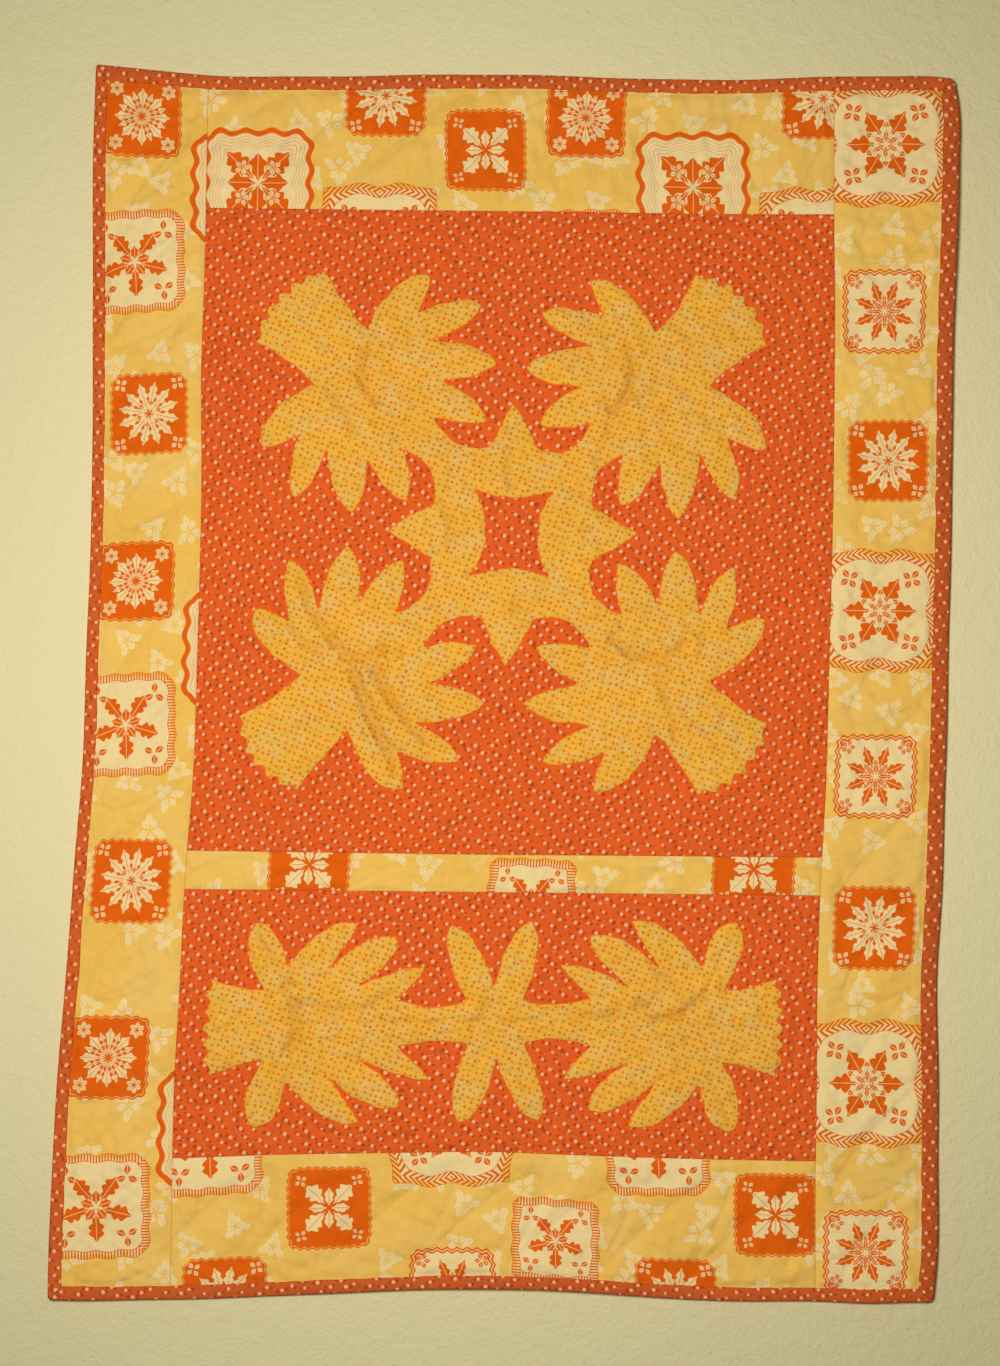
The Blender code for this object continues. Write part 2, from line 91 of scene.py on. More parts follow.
# how the hung quilt leaves its straight lines
hanging = {
    # drop, then the shift to the right of left edge, left seam, right seam, right edge
    "sides": [
        (0.000, 0.0024, 0.0014, 0.0015, 0.0013),
        (0.027, 0.0020, 0.0014, 0.0015, 0.0049),
        (0.061, 0.0018, 0.0014, 0.0015, 0.0043),
        (0.110, 0.0024, 0.0014, 0.0016, 0.0027),
        (0.160, 0.0037, 0.0009, 0.0024, 0.0010),
        (0.214, 0.0047, 0.0000, 0.0023, -0.0003),
        (0.309, 0.0058, 0.0016, 0.0016, -0.0006),
        (0.432, 0.0041, 0.0007, -0.0010, -0.0031),
        (0.518, 0.0028, -0.0008, -0.0031, -0.0053),
        (0.583, -0.0012, -0.0049, -0.0064, -0.0070),
        (0.663, -0.0055, -0.0076, -0.0088, -0.0109),
        (0.733, -0.0107, -0.0104, -0.0091, -0.0101),
        (0.787, -0.0125, -0.0108, -0.0098, -0.0104),
        (0.860, -0.0141, -0.0108, -0.0098, -0.0115),
        (0.8875, -0.0137, -0.0108, -0.0098, -0.0138),
    ],
    # across, then the shift upwards of top edge, foot of the lower panel, bottom edge
    "levels": [
        (-0.316, 0.0066, -0.0045, -0.0028),
        (-0.290, 0.0039, -0.0045, -0.0032),
        (-0.272, 0.0019, -0.0045, -0.0031),
        (-0.231, -0.0014, -0.0037, -0.0022),
        (-0.160, -0.0017, -0.0005, 0.0011),
        (-0.080, 0.0006, 0.0018, 0.0062),
        (-0.010, 0.0018, 0.0035, 0.0086),
        (0.060, 0.0004, 0.0016, 0.0066),
        (0.140, -0.0005, -0.0003, 0.0016),
        (0.229, 0.0025, -0.0011, 0.0011),
        (0.270, 0.0031, -0.0011, 0.0006),
        (0.300, 0.0026, -0.0011, 0.0018),
        (0.316, 0.0008, -0.0011, 0.0018),
    ],
    # drop, then the distance from the wall at left edge, left seam, middle, right seam, right edge
    "lifts": [
        (0.000, 0.0022, 0.0034, 0.0022, 0.0030, 0.0056),
        (0.090, 0.0026, 0.0030, 0.0024, 0.0034, 0.0104),
        (0.220, 0.0034, 0.0024, 0.0030, 0.0030, 0.0076),
        (0.360, 0.0028, 0.0024, 0.0024, 0.0026, 0.0040),
        (0.500, 0.0044, 0.0028, 0.0022, 0.0028, 0.0046),
        (0.640, 0.0066, 0.0036, 0.0032, 0.0024, 0.0032),
        (0.770, 0.0040, 0.0030, 0.0050, 0.0030, 0.0048),
        (0.8875, 0.0060, 0.0034, 0.0084, 0.0036, 0.0064),
    ],
    "ripple": 0.0006,
    "rippleLength": 0.096,
    "rippleSlant": 0.8,
    "rippleDepth": 0.050,
}


# cubic Hermite curve through the stations:
# h(t) = (1+2t)(1-t)^2 a + t(1-t)^2 s a' + t^2(3-2t) b + t^2(t-1) s b'
def smoothThrough(x, stations, values):
    x = np.asarray(x, float)
    values = np.asarray(values, float)
    if values.ndim == 1:
        values = np.repeat(values[:, None], len(x), axis=1)
    slopes = np.gradient(values, stations, axis=0)
    low = np.clip(np.searchsorted(stations, x) - 1, 0, len(stations) - 2)
    span = stations[low + 1] - stations[low]
    t = (x - stations[low]) / span
    each = np.arange(len(x))
    return (
        (1 + 2 * t) * (1 - t) ** 2 * values[low, each]
        + t * (1 - t) ** 2 * span * slopes[low, each]
        + t * t * (3 - 2 * t) * values[low + 1, each]
        + t * t * (t - 1) * span * slopes[low + 1, each]
    )


# 3t^2 - 2t^3, where t runs from 0 at low to 1 at high
def softStep(low, high, x):
    t = np.clip((x - low) / (high - low), 0, 1)
    return t * t * (3 - 2 * t)


# distance of each place from the nearest of four sides
def fromSides(across, drop, left, top, right, foot):
    return np.minimum.reduce([across - left, right - across, drop - top, foot - drop])


# each column of a table of the hung quilt, at the places x
def hung(name, x):
    stations, *columns = np.array(hanging[name]).T
    return [smoothThrough(x, stations, column) for column in columns]


# flat (across, drop) to the wall: x = across + side shift, z = -drop + level shift, and
# y = -(lift + ripple + forward)
def hangOnWall(across, drop, forward):
    sides, levels, lifts = hung("sides", drop), hung("levels", across), hung("lifts", drop)
    still = np.zeros(len(across))
    x = across + smoothThrough(across, np.array([leftEdge, leftSeam, rightSeam, rightEdge]), sides)
    rows = [levels[0], still, still, levels[1], levels[2]]
    z = -drop + smoothThrough(drop, np.array([0, largeTop, lowerTop, lowerFoot, quiltHeight]), rows)
    depth = fromSides(across, drop, leftEdge, 0, rightEdge, quiltHeight)
    ripple = np.sin(2 * math.pi * (across + hanging["rippleSlant"] * drop) / hanging["rippleLength"])
    ripple *= hanging["ripple"] * (1 - softStep(0, hanging["rippleDepth"], depth))
    lift = smoothThrough(across, np.array([leftEdge, leftSeam, middle, rightSeam, rightEdge]), lifts)
    return np.column_stack([x, -lift - ripple - forward, z])


# a sum of plane sine waves of random direction, each of a length between short and long; about -1 to 1
def softNoise(across, drop, short, long, seed, count=14):
    random = np.random.default_rng(seed)
    angle = random.uniform(0, 2 * math.pi, count)
    wave = 2 * math.pi / np.exp(random.uniform(math.log(short), math.log(long), count))
    phase = random.uniform(0, 2 * math.pi, count)
    total = np.zeros(np.shape(across))
    for a, w, p in zip(angle, wave, phase):
        total += np.sin(w * (np.cos(a) * across + np.sin(a) * drop) + p)
    return total / math.sqrt(count)


# softNoise by its height and its shortest and longest wave
def uneven(across, drop, noise, seed):
    height, short, long = noise
    return height * softNoise(across, drop, short, long, seed)


# distance from each point to the nearest segment of a line of points
def distanceTo(across, drop, line, closed=True):
    nearest = np.full(np.shape(across), np.inf)
    ends = np.roll(line, -1, axis=0) if closed else line[1:]
    for (ax, ay), (bx, by) in zip(line, ends):
        wx, wy = bx - ax, by - ay
        t = np.clip(((across - ax) * wx + (drop - ay) * wy) / (wx * wx + wy * wy), 0, 1)
        nearest = np.minimum(nearest, (across - ax - t * wx) ** 2 + (drop - ay - t * wy) ** 2)
    return np.sqrt(nearest)


def nearestTo(across, drop, lines, closed=True):
    return np.minimum.reduce([distanceTo(across, drop, line, closed) for line in lines])


# which points lie inside the loops, by the even-odd rule
def insideOf(across, drop, loops):
    found = np.zeros(np.shape(across), bool)
    for loop in loops:
        for (ax, ay), (bx, by) in zip(loop, np.roll(loop, -1, axis=0)):
            if ay != by:
                found ^= ((ay > drop) != (by > drop)) & (across < ax + (drop - ay) * (bx - ax) / (by - ay))
    return found


print("quilt: drawing the plants")
# each corner: along the flower's axis, aside from it, swell of the edge to the next corner, 1 at a leaf's tip
squarePlant = {
    "corners": [
        (0.231, 0.038, -0.04, 0),
        (0.179, 0.029, 0.15, 0),
        (0.175, 0.092, 0.07, 1),
        (0.161, 0.066, 0.10, 0),
        (0.133, 0.102, 0.11, 1),
        (0.139, 0.058, 0.12, 0),
        (0.095, 0.080, 0.10, 1),
        (0.113, 0.042, 0.13, 0),
        (0.072, 0.043, 0.08, 1),
        (0.099, 0.017, -0.22, 0),
    ],
    "reach": 0.242,
    "teeth": 7,
    "veinsFrom": 0.052,
    "hubPoint": 0.096,
    "hubShoulder": (0.062, 0.019),
    "hubSwell": 0.02,
    "windowCorner": 0.043,
    "windowWaist": (0.019, 0.025),
    # how each part was laid: its centre, its shift, and its spread across and down
    "lay": [
        ((-0.098, 0.240), (0.0001, 0.0000), (-0.025, -0.010), (0.049, -0.005)),
        ((0.094, 0.240), (-0.0064, 0.0014), (-0.028, -0.042), (0.005, -0.002)),
        ((-0.098, 0.431), (-0.0064, 0.0015), (-0.023, -0.002), (-0.103, -0.009)),
        ((0.094, 0.431), (-0.0027, 0.0020), (-0.031, 0.011), (0.043, -0.008)),
        ((-0.002, 0.335), (-0.0025, 0.0005), (-0.063, 0.014), (-0.031, 0.024)),
    ],
}
longPlant = {
    "corners": [
        (0.209, 0.035, -0.03, 0),
        (0.169, 0.025, 0.15, 0),
        (0.177, 0.073, 0.22, 1),
        (0.152, 0.042, 0.14, 0),
        (0.099, 0.072, 0.03, 1),
        (0.120, 0.040, 0.12, 0),
        (0.072, 0.062, 0.15, 1),
        (0.099, 0.027, 0.05, 0),
        (0.052, 0.041, 0.05, 1),
        (0.072, 0.017, -0.08, 0),
        (0.023, 0.016, 0.13, 0),
        (0.032, 0.072, 0.13, 1),
        (0.000, 0.026, 0, 0),
    ],
    "reach": 0.211,
    "teeth": 7,
    "veinsFrom": 0.0,
    "lay": [
        ((-0.122, 0.692), (-0.0005, 0.0004), (-0.022, -0.028), (0.022, -0.008)),
        ((0.118, 0.692), (-0.0055, -0.0006), (-0.022, 0.007), (-0.012, 0.019)),
        ((-0.002, 0.692), (-0.0016, 0.0002), (-0.110, -0.045), (0.055, 0.009)),
    ],
}
# edges: how far the pinked teeth stand out, where an edge's handles are, and how a leaf leans to its tip
plantDrawing = {
    "tooth": 0.0026,
    "handles": (0.33, 0.67),
    "lean": 0.11,
    "leanSwell": 1.2,
    "steps": 12,
    "rimSpacing": 0.0016,
    "layReach": 0.040,
}
# a vein's parts as shares: the axis's end, the foot's place aside, where it joins the axis, and its start
veinDrawing = {
    "axisEnd": 0.93,
    "footAside": 0.80,
    "joinBack": 0.9,
    "joinAside": 0.003,
    "start": 0.84,
    "steps": 9,
}


# cubic Bezier edge from a to b, whose handles stand aside by 4/3 of the swell
def plantEdge(a, b, swell, lean):
    a, b = np.array(a), np.array(b)
    way = b - a
    side = np.array([way[1], -way[0]]) * swell * 4 / 3
    t = np.linspace(0, 1, plantDrawing["steps"], endpoint=False)[:, None]
    (near, far), more = plantDrawing["handles"], plantDrawing["leanSwell"]
    c = a + (near + lean) * way + (1 - more * lean) * side
    d = a + (far + lean) * way + (1 + more * lean) * side
    return (1 - t) ** 3 * a + 3 * t * (1 - t) ** 2 * c + 3 * t * t * (1 - t) * d + t**3 * b


# half of an outline, from the middle of the pinked mouth to the last corner, without it
def halfPlant(plant, corners):
    end, half = corners[0][:2]
    outline = []
    for k in range(plant["teeth"] - 1):
        share = k / (plant["teeth"] - 1)
        along = plant["reach"] + (end - plant["reach"]) * share**2
        outline.append([(along + (-1 if k % 2 else 1) * plantDrawing["tooth"], half * share)])
    for (*here, swell, tip), (*there, _, nextTip) in zip(corners, corners[1:]):
        outline.append(plantEdge(here, there, swell, plantDrawing["lean"] * (nextTip - tip)))
    return np.vstack(outline)


def turned(points, degrees):
    c, s = math.cos(math.radians(degrees)), math.sin(math.radians(degrees))
    return np.asarray(points) @ np.array([[c, s], [-s, c]])


def squareOutline():
    setup = squarePlant
    shoulder, point = turned([setup["hubShoulder"], (setup["hubPoint"], 0)], -45) * (1, -1)
    corners = [*setup["corners"], (*shoulder, setup["hubSwell"], 0), (*point, 0, 0)]
    half = halfPlant(setup, corners)
    quarter = np.vstack([turned([*half, point], 45), turned(half[:0:-1] * (1, -1), 135)])
    corners = turned([(setup["windowCorner"], 0)], 45)[0] * [(1, 1), (-1, 1), (-1, -1), (1, -1)]
    window = []
    for k, here in enumerate(corners):
        there = corners[(k + 1) % 4]
        hollow = abs(here[0]) - setup["windowWaist"][(k + 1) % 2]
        window.append(plantEdge(here, there, -hollow / np.linalg.norm(there - here), 0))
    return np.vstack([turned(quarter, 90 * k) for k in range(4)]), np.vstack(window)


def longOutline():
    half = halfPlant(longPlant, longPlant["corners"])
    upper = np.vstack([half, [longPlant["corners"][-1][:2]], half[::-1] * (-1, 1)])
    return np.vstack([upper, upper[-2:0:-1] * (1, -1)])


# stitched veins of one flower: from each leaf's tip through its foot to the axis, and the axis itself
def veinsOf(plant):
    corners, root = plant["corners"], plant["veinsFrom"]
    veins = [np.array([(root, 0.0), (plant["reach"] * veinDrawing["axisEnd"], 0.0)])]
    for k in range(1, len(corners) - 1):
        if corners[k][3]:
            tip, before, after = (np.array(corners[i][:2]) for i in (k, k - 1, k + 1))
            foot = (before + after) / 2
            foot[1] *= veinDrawing["footAside"]
            joinAlong = max(root, foot[0] - veinDrawing["joinBack"] * foot[1])
            join = np.array([joinAlong, veinDrawing["joinAside"]])
            t = np.linspace(0, 1, veinDrawing["steps"])[:, None]
            start = foot + veinDrawing["start"] * (tip - foot)
            line = (1 - t) ** 2 * start + 2 * t * (1 - t) * foot + t * t * join
            veins += [line, line * (1, -1)]
    return veins


# as laid by hand: place + sum(w (shift + (place - centre) spread)) / sum(w), w = exp(-(distance/reach)^2/2)
def asLaid(places, lay):
    total, weight = np.zeros_like(places), np.zeros((len(places), 1))
    for centre, shift, across, down in lay:
        way = places - centre
        w = np.exp(-0.5 * np.sum(way**2, axis=1) / plantDrawing["layReach"] ** 2)[:, None] + 1e-12
        total += w * (shift + way @ np.array([across, down]))
        weight += w
    return places + total / weight


squareCentre = np.array([middle, (largeTop + largeFoot) / 2])
longCentre = np.array([middle, (lowerTop + lowerFoot) / 2])
squareLoops = [asLaid(loop * (1, -1) + squareCentre, squarePlant["lay"]) for loop in squareOutline()]
longLoops = [asLaid(longOutline() * (1, -1) + longCentre, longPlant["lay"])]

squareVeins = [turned(vein, 45 + 90 * k) * (1, -1) for k in range(4) for vein in veinsOf(squarePlant)]
squareVeins = [asLaid(vein + squareCentre, squarePlant["lay"]) for vein in squareVeins]
longVeins = [vein * (side, -1) for side in (1, -1) for vein in veinsOf(longPlant)]
longVeins = [asLaid(vein + longCentre, longPlant["lay"]) for vein in longVeins]

# the points of a sheet and the finish of its sides
sheetMaking = {
    "pitch": 0.00175,
    "besideSeam": (0, 0.0003, 0.0008, 0.0016, 0.0028, 0.0045),  # closer places there
    "backEvery": 3,  # the back has every third place of the front
    "tuck": 0.0014,  # from the binding's fold to the raw edge in it
    "gap": 0.00004,  # between two sheets, half of it on each
    "seamRoll": 0.0005,  # how far the cloth turns down into a seam
    "rollReach": 0.0016,
}


# places along a side: close together beside the seams, and then evenly
def placesAlong(low, high):
    near = np.array(sheetMaking["besideSeam"])
    count = max(2, round((high - low - 2 * near[-1]) / sheetMaking["pitch"]))
    inner = np.linspace(low + near[-1], high - near[-1], count + 1)
    return np.concatenate([low + near[:-1], inner, high - near[-2::-1]])


# which of a side's places the back has too
def backPicks(count):
    last = len(sheetMaking["besideSeam"]) - 1
    inner = np.arange(last, count - last, sheetMaking["backEvery"])
    return np.unique(np.r_[0, inner, count - last - 1, count - 1])


def gridPlaces(acrossPlaces, dropPlaces):
    return (grid.ravel() for grid in np.meshgrid(acrossPlaces, dropPlaces))


# a mesh with its place on the flat cloth as its UV map, in metres
def meshObject(name, points, faces, materials, faceMaterials, flat, rounded=None):
    mesh = bpy.data.meshes.new(name)
    mesh.from_pydata(points.tolist(), [], faces)
    for material in materials:
        mesh.materials.append(material)
    mesh.polygons.foreach_set("material_index", np.asarray(faceMaterials, np.int32))
    mesh.polygons.foreach_set("use_smooth", np.ones(len(faces), bool) if rounded is None else rounded)
    corner = np.empty(len(mesh.loops), np.int32)
    mesh.loops.foreach_get("vertex_index", corner)
    layer = mesh.uv_layers.new(name="clothPlace")
    layer.uv.foreach_set("vector", np.asarray(flat, np.float32)[corner].ravel())
    mesh.update()
    return newObject(name, mesh)


def pointValues(obj, name, values):
    attribute = obj.data.attributes.new(name, "FLOAT", "POINT")
    attribute.data.foreach_set("value", np.asarray(values, np.float32))


# the faces of a grid of rows x columns points, as seen from the front where the first row is the top one
def gridFaces(rows, columns, start=0, fromBehind=False):
    first = (np.arange(rows - 1)[:, None] * columns + np.arange(columns - 1)).ravel() + start
    around = (0, 1, columns + 1, columns) if fromBehind else (0, columns, columns + 1, 1)
    return np.column_stack([first + k for k in around]).tolist()


# front: forward = body + relief(across, drop) - roll (1 - d/reach)^2, d from the nearest side; back: -hollow
# measure gives (relief, hollow, values to keep) for places on the cloth
def quiltedSheet(node, left, top, right, foot, measure, materials):
    tuck, gap = sheetMaking["tuck"], sheetMaking["gap"]
    left, right = max(left, leftEdge + tuck) + gap, min(right, rightEdge - tuck) - gap
    top, foot = max(top, tuck) + gap, min(foot, quiltHeight - tuck) - gap
    acrossPlaces, dropPlaces = placesAlong(left, right), placesAlong(top, foot)
    rows, columns = len(dropPlaces), len(acrossPlaces)
    rowPicks, columnPicks = backPicks(rows), backPicks(columns)
    across, drop = gridPlaces(acrossPlaces, dropPlaces)
    backAcross, backDrop = gridPlaces(acrossPlaces[columnPicks], dropPlaces[rowPicks])
    relief, _, kept = measure(across, drop)
    _, hollow, keptBack = measure(backAcross, backDrop)
    edge = fromSides(across, drop, left, top, right, foot)
    rolled = sheetMaking["seamRoll"] * (1 - np.clip(edge / sheetMaking["rollReach"], 0, 1)) ** 2
    front = hangOnWall(across, drop, quilt["body"] + relief - rolled)
    back = hangOnWall(backAcross, backDrop, -hollow)

    start, backColumns = len(front), len(columnPicks)
    faces = gridFaces(rows, columns)
    frontCount = len(faces)
    faces += gridFaces(len(rowPicks), backColumns, start, True)
    sheetCount = len(faces)
    lastRow, lastBackRow = (rows - 1) * columns, start + (len(rowPicks) - 1) * backColumns
    for j, (a, b) in enumerate(zip(columnPicks, columnPicks[1:])):
        faces.append([*range(a, b + 1), start + j + 1, start + j])
        faces.append([*range(lastRow + b, lastRow + a - 1, -1), lastBackRow + j, lastBackRow + j + 1])
    for j, (a, b) in enumerate(zip(rowPicks, rowPicks[1:])):
        up, down = start + j * backColumns, start + (j + 1) * backColumns
        faces.append([*range(b * columns, a * columns - 1, -columns), up, down])
        rightSide = range((a + 1) * columns - 1, (b + 1) * columns, columns)
        faces.append([*rightSide, down + backColumns - 1, up + backColumns - 1])
    flat = np.vstack([np.column_stack([across, -drop]), np.column_stack([backAcross, -backDrop])])
    kinds = np.ones(len(faces), int)
    kinds[:frontCount] = 0
    rounded = np.arange(len(faces)) < sheetCount
    obj = meshObject("quilted_" + node, np.vstack([front, back]), faces, materials, kinds, flat, rounded)
    for key in kept:
        pointValues(obj, key, np.concatenate([kept[key], keptBack[key]]))
    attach(obj, "root")
    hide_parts(node)
    right - left
    foot - top
    return obj


# a number or a vector that runs through a shader tree; to reckon with it adds the nodes
class Flow:
    def __init__(self, tree, socket, isVector=False):
        self.tree = tree
        self.socket = socket
        self.isVector = isVector

    def __add__(self, other):
        return worked("ADD", self, other)

    def __sub__(self, other):
        return worked("SUBTRACT", self, other)

    def __rsub__(self, other):
        return worked("SUBTRACT", other, self)

    def __mul__(self, other):
        return worked("MULTIPLY", self, other)

    def __truediv__(self, other):
        return worked("DIVIDE", self, other)

    def __rtruediv__(self, other):
        return worked("DIVIDE", other, self)

    def __pow__(self, other):
        return worked("POWER", self, other)

    def __abs__(self):
        return worked("ABSOLUTE", self)


def treeOf(*values):
    return next(value.tree for value in values if isinstance(value, Flow))


def feed(socket, value):
    if isinstance(value, Flow):
        value.tree.links.new(value.socket, socket)
    else:
        socket.default_value = value


# a Math node, or a Vector Math node where a value is a vector; a vector times a number is scaled
def worked(operation, *values):
    tree = treeOf(*values)
    isVector = any(isinstance(value, Flow) and value.isVector for value in values)
    node = tree.nodes.new("ShaderNodeVectorMath" if isVector else "ShaderNodeMath")
    isScaled = isVector and operation == "MULTIPLY"
    node.operation = "SCALE" if isScaled else operation
    for socket, value in zip([node.inputs[0], node.inputs["Scale"]] if isScaled else node.inputs, values):
        feed(socket, value)
    isNumber = not isVector or operation in ("LENGTH", "DISTANCE")
    return Flow(tree, node.outputs["Value" if isNumber else "Vector"], not isNumber)


def sine(value):
    return worked("SINE", value)


def cosine(value):
    return worked("COSINE", value)


def larger(first, second):
    return worked("MAXIMUM", first, second)


def smaller(first, second):
    return worked("MINIMUM", first, second)


def apart(vector):
    node = vector.tree.nodes.new("ShaderNodeSeparateXYZ")
    feed(node.inputs[0], vector)
    return [Flow(vector.tree, output) for output in node.outputs]


def together(x, y, z=0.0):
    tree = treeOf(x, y, z)
    node = tree.nodes.new("ShaderNodeCombineXYZ")
    for socket, value in zip(node.inputs, (x, y, z)):
        feed(socket, value)
    return Flow(tree, node.outputs[0], True)


# 0 at low and 1 at high, smooth between them
def rise(value, low, high):
    node = value.tree.nodes.new("ShaderNodeMapRange")
    node.interpolation_type = "SMOOTHSTEP"
    for socket, given in zip(node.inputs, (value, low, high)):
        feed(socket, given)
    return Flow(value.tree, node.outputs[0])


# colours mixed by a share; the Mix node's sockets for colours are its seventh and eighth
def blended(share, first, second, kind="MIX"):
    tree = treeOf(share, first, second)
    node = tree.nodes.new("ShaderNodeMix")
    node.data_type = "RGBA"
    node.blend_type = kind
    for k, value in ((0, share), (6, first), (7, second)):
        feed(node.inputs[k], value)
    return Flow(tree, node.outputs[2])


# a colour times a number
def shaded(base, shade):
    return blended(1.0, base, together(shade, shade, shade), "MULTIPLY")


# noise, as a number or as a vector
def clouds(place, scale, detail=2.0, asVector=False):
    node = place.tree.nodes.new("ShaderNodeTexNoise")
    for name, value in (("Vector", place), ("Scale", scale), ("Detail", detail)):
        feed(node.inputs[name], value)
    return Flow(place.tree, node.outputs[int(asVector)], asVector)


# a jittered lattice in the plane: the random values and the middle of the cell at each place
def lattice(place, scale, jitter):
    node = place.tree.nodes.new("ShaderNodeTexVoronoi")
    node.voronoi_dimensions = "2D"
    for name, value in (("Vector", place), ("Scale", scale), ("Randomness", jitter)):
        feed(node.inputs[name], value)
    return [Flow(place.tree, node.outputs[name], True) for name in ("Color", "Position")]


def spun(place, angle):
    node = place.tree.nodes.new("ShaderNodeVectorRotate")
    node.rotation_type = "Z_AXIS"
    feed(node.inputs["Vector"], place)
    feed(node.inputs["Angle"], angle)
    return Flow(place.tree, node.outputs[0], True)


def attributeOf(tree, name, asVector=False):
    node = tree.nodes.new("ShaderNodeAttribute")
    node.attribute_name = name
    return Flow(tree, node.outputs["Vector" if asVector else "Fac"], asVector)


def uvPlace(tree, name):
    node = tree.nodes.new("ShaderNodeUVMap")
    node.uv_map = name
    return Flow(tree, node.outputs[0], True)


def objectPlace(tree):
    return Flow(tree, tree.nodes.new("ShaderNodeTexCoord").outputs["Object"], True)


# a bump of so many metres on a shader
def bumped(shader, height, strength):
    node = height.tree.nodes.new("ShaderNodeBump")
    node.inputs["Strength"].default_value = strength
    node.inputs["Distance"].default_value = 1.0
    feed(node.inputs["Height"], height)
    height.tree.links.new(node.outputs[0], shader.inputs["Normal"])


# a shader group: its inputs with their first values, where None makes a vector, and its outputs, all numbers
def newGroup(name, inputs, outputs):
    group = bpy.data.node_groups.new(name, "ShaderNodeTree")
    for key, value in inputs.items():
        kind = "NodeSocketVector" if value is None else "NodeSocketFloat"
        socket = group.interface.new_socket(key, in_out="INPUT", socket_type=kind)
        if value is not None:
            socket.default_value = value
    for key in outputs:
        group.interface.new_socket(key, in_out="OUTPUT", socket_type="NodeSocketFloat")
    sockets = group.nodes.new("NodeGroupInput").outputs
    given = {key: Flow(group, sockets[key], value is None) for key, value in inputs.items()}
    return group, given, group.nodes.new("NodeGroupOutput").inputs


def useGroup(group, **values):
    tree = treeOf(*values.values())
    node = tree.nodes.new("ShaderNodeGroup")
    node.node_tree = group
    for key, value in values.items():
        feed(node.inputs[key], value)
    return {output.name: Flow(tree, output) for output in node.outputs}


print("quilt: building the shader groups")
fullTurn = 2 * math.pi
weaveLook = {"threadsAlong": 1500, "threadsAcross": 60, "turnOver": 0.25}


# plain weave: warp |sin(pi x/p)| and weft |sin(pi y/p)| take turns on top, with uneven threads
def plainWeave():
    group, given, result = newGroup("plainWeave", {"Place": None, "Thread": 0.0005}, ("Height", "Shade"))
    x, y, _ = apart(given["Place"] * (math.pi / given["Thread"]))
    onTop = rise(sine(x * 0.5) * sine(y * 0.5), -weaveLook["turnOver"], weaveLook["turnOver"])
    feed(result["Height"], abs(sine(x)) * onTop + abs(sine(y)) * (1.0 - onTop))
    x, y, _ = apart(given["Place"])
    fine, coarse = weaveLook["threadsAlong"], weaveLook["threadsAcross"]
    warpThreads = clouds(together(x * fine, y * coarse), 1.0)
    weftThreads = clouds(together(x * coarse, y * fine), 1.0)
    feed(result["Shade"], warpThreads + weftThreads)
    return group


# sizes: the least one, and what is added to it
dotsLook = {"sizes": (0.8, 0.4), "secondSize": 0.92, "driftScale": 110.0}


# dots on a jittered lattice, and the same lattice moved aside both ways for the companions: masks of both
def scatteredDots():
    group, given, result = newGroup(
        "scatteredDots",
        {
            "Place": None, "Pitch": 0.0075, "Jitter": 0.32, "Radius": 0.00112, "CompanionRadius": 0.00128,
            "Beside": None, "Wander": 0.0055, "Soft": 0.0006,
        },
        ("Dot", "Companion", "Random"),
    )

    # one lattice of dots: 1 inside a radius that differs a little from dot to dot
    def dotLattice(place, radius):
        values, centre = lattice(place, 1.0 / given["Pitch"], given["Jitter"])
        red, green, _ = apart(values)
        least, added = dotsLook["sizes"]
        inside = radius * (red * added + least) - worked("DISTANCE", place, centre)
        return rise(inside, given["Soft"] * -1.0, given["Soft"]), green

    main, random = dotLattice(given["Place"], given["Radius"])
    drift = clouds(given["Place"], dotsLook["driftScale"], 1.0, True) - (0.5, 0.5, 0.5)
    drift = drift * given["Wander"]
    first, _ = dotLattice(given["Place"] - given["Beside"] + drift, given["CompanionRadius"])
    secondRadius = given["CompanionRadius"] * dotsLook["secondSize"]
    second, _ = dotLattice(given["Place"] + given["Beside"] + drift, secondRadius)
    feed(result["Dot"], main)
    feed(result["Companion"], larger(first, second))
    feed(result["Random"], random)
    return group


# half widths of a leaf's vein, and how far it keeps from the leaf's edge
leafLook = {"vein": (0.00042, 0.00018), "veinClear": (0.0006, 0.0010), "edge": 0.00002}


# a ring of leaves: half width w sin(pi q^f) (1 - n + n |cos(pi k q)|) at the share q of the way from Start
# to Reach along each ray, with k lobes a side and notches of n
def leafRing():
    group, given, result = newGroup(
        "leafRing",
        {
            "Place": None, "Count": 8.0, "Start": 0.002, "Reach": 0.02, "HalfWidth": 0.004, "Fullness": 1.0,
            "Turn": 0.0, "Lobes": 3.0, "Notch": 0.0, "Soft": 0.0002,
        },
        ("Leaf", "Vein"),
    )
    x, y, _ = apart(given["Place"])
    radius = worked("LENGTH", together(x, y))
    half = math.pi / given["Count"]
    angle = worked("WRAP", worked("ARCTAN2", y, x) + given["Turn"], half, half * -1.0)
    aside = abs(radius * sine(angle))
    share = (radius * cosine(angle) - given["Start"]) / (given["Reach"] - given["Start"])
    share = smaller(larger(share, 0.0), 1.0)
    lobe = 1.0 - (1.0 - abs(cosine(share * math.pi * given["Lobes"]))) * given["Notch"]
    width = given["HalfWidth"] * sine(share ** given["Fullness"] * math.pi) * lobe
    inside = width - aside
    feed(result["Leaf"], rise(inside, leafLook["edge"], given["Soft"] * 2.0))
    feed(result["Vein"], rise(aside, *leafLook["vein"]) * rise(inside, *leafLook["veinClear"]))
    return group


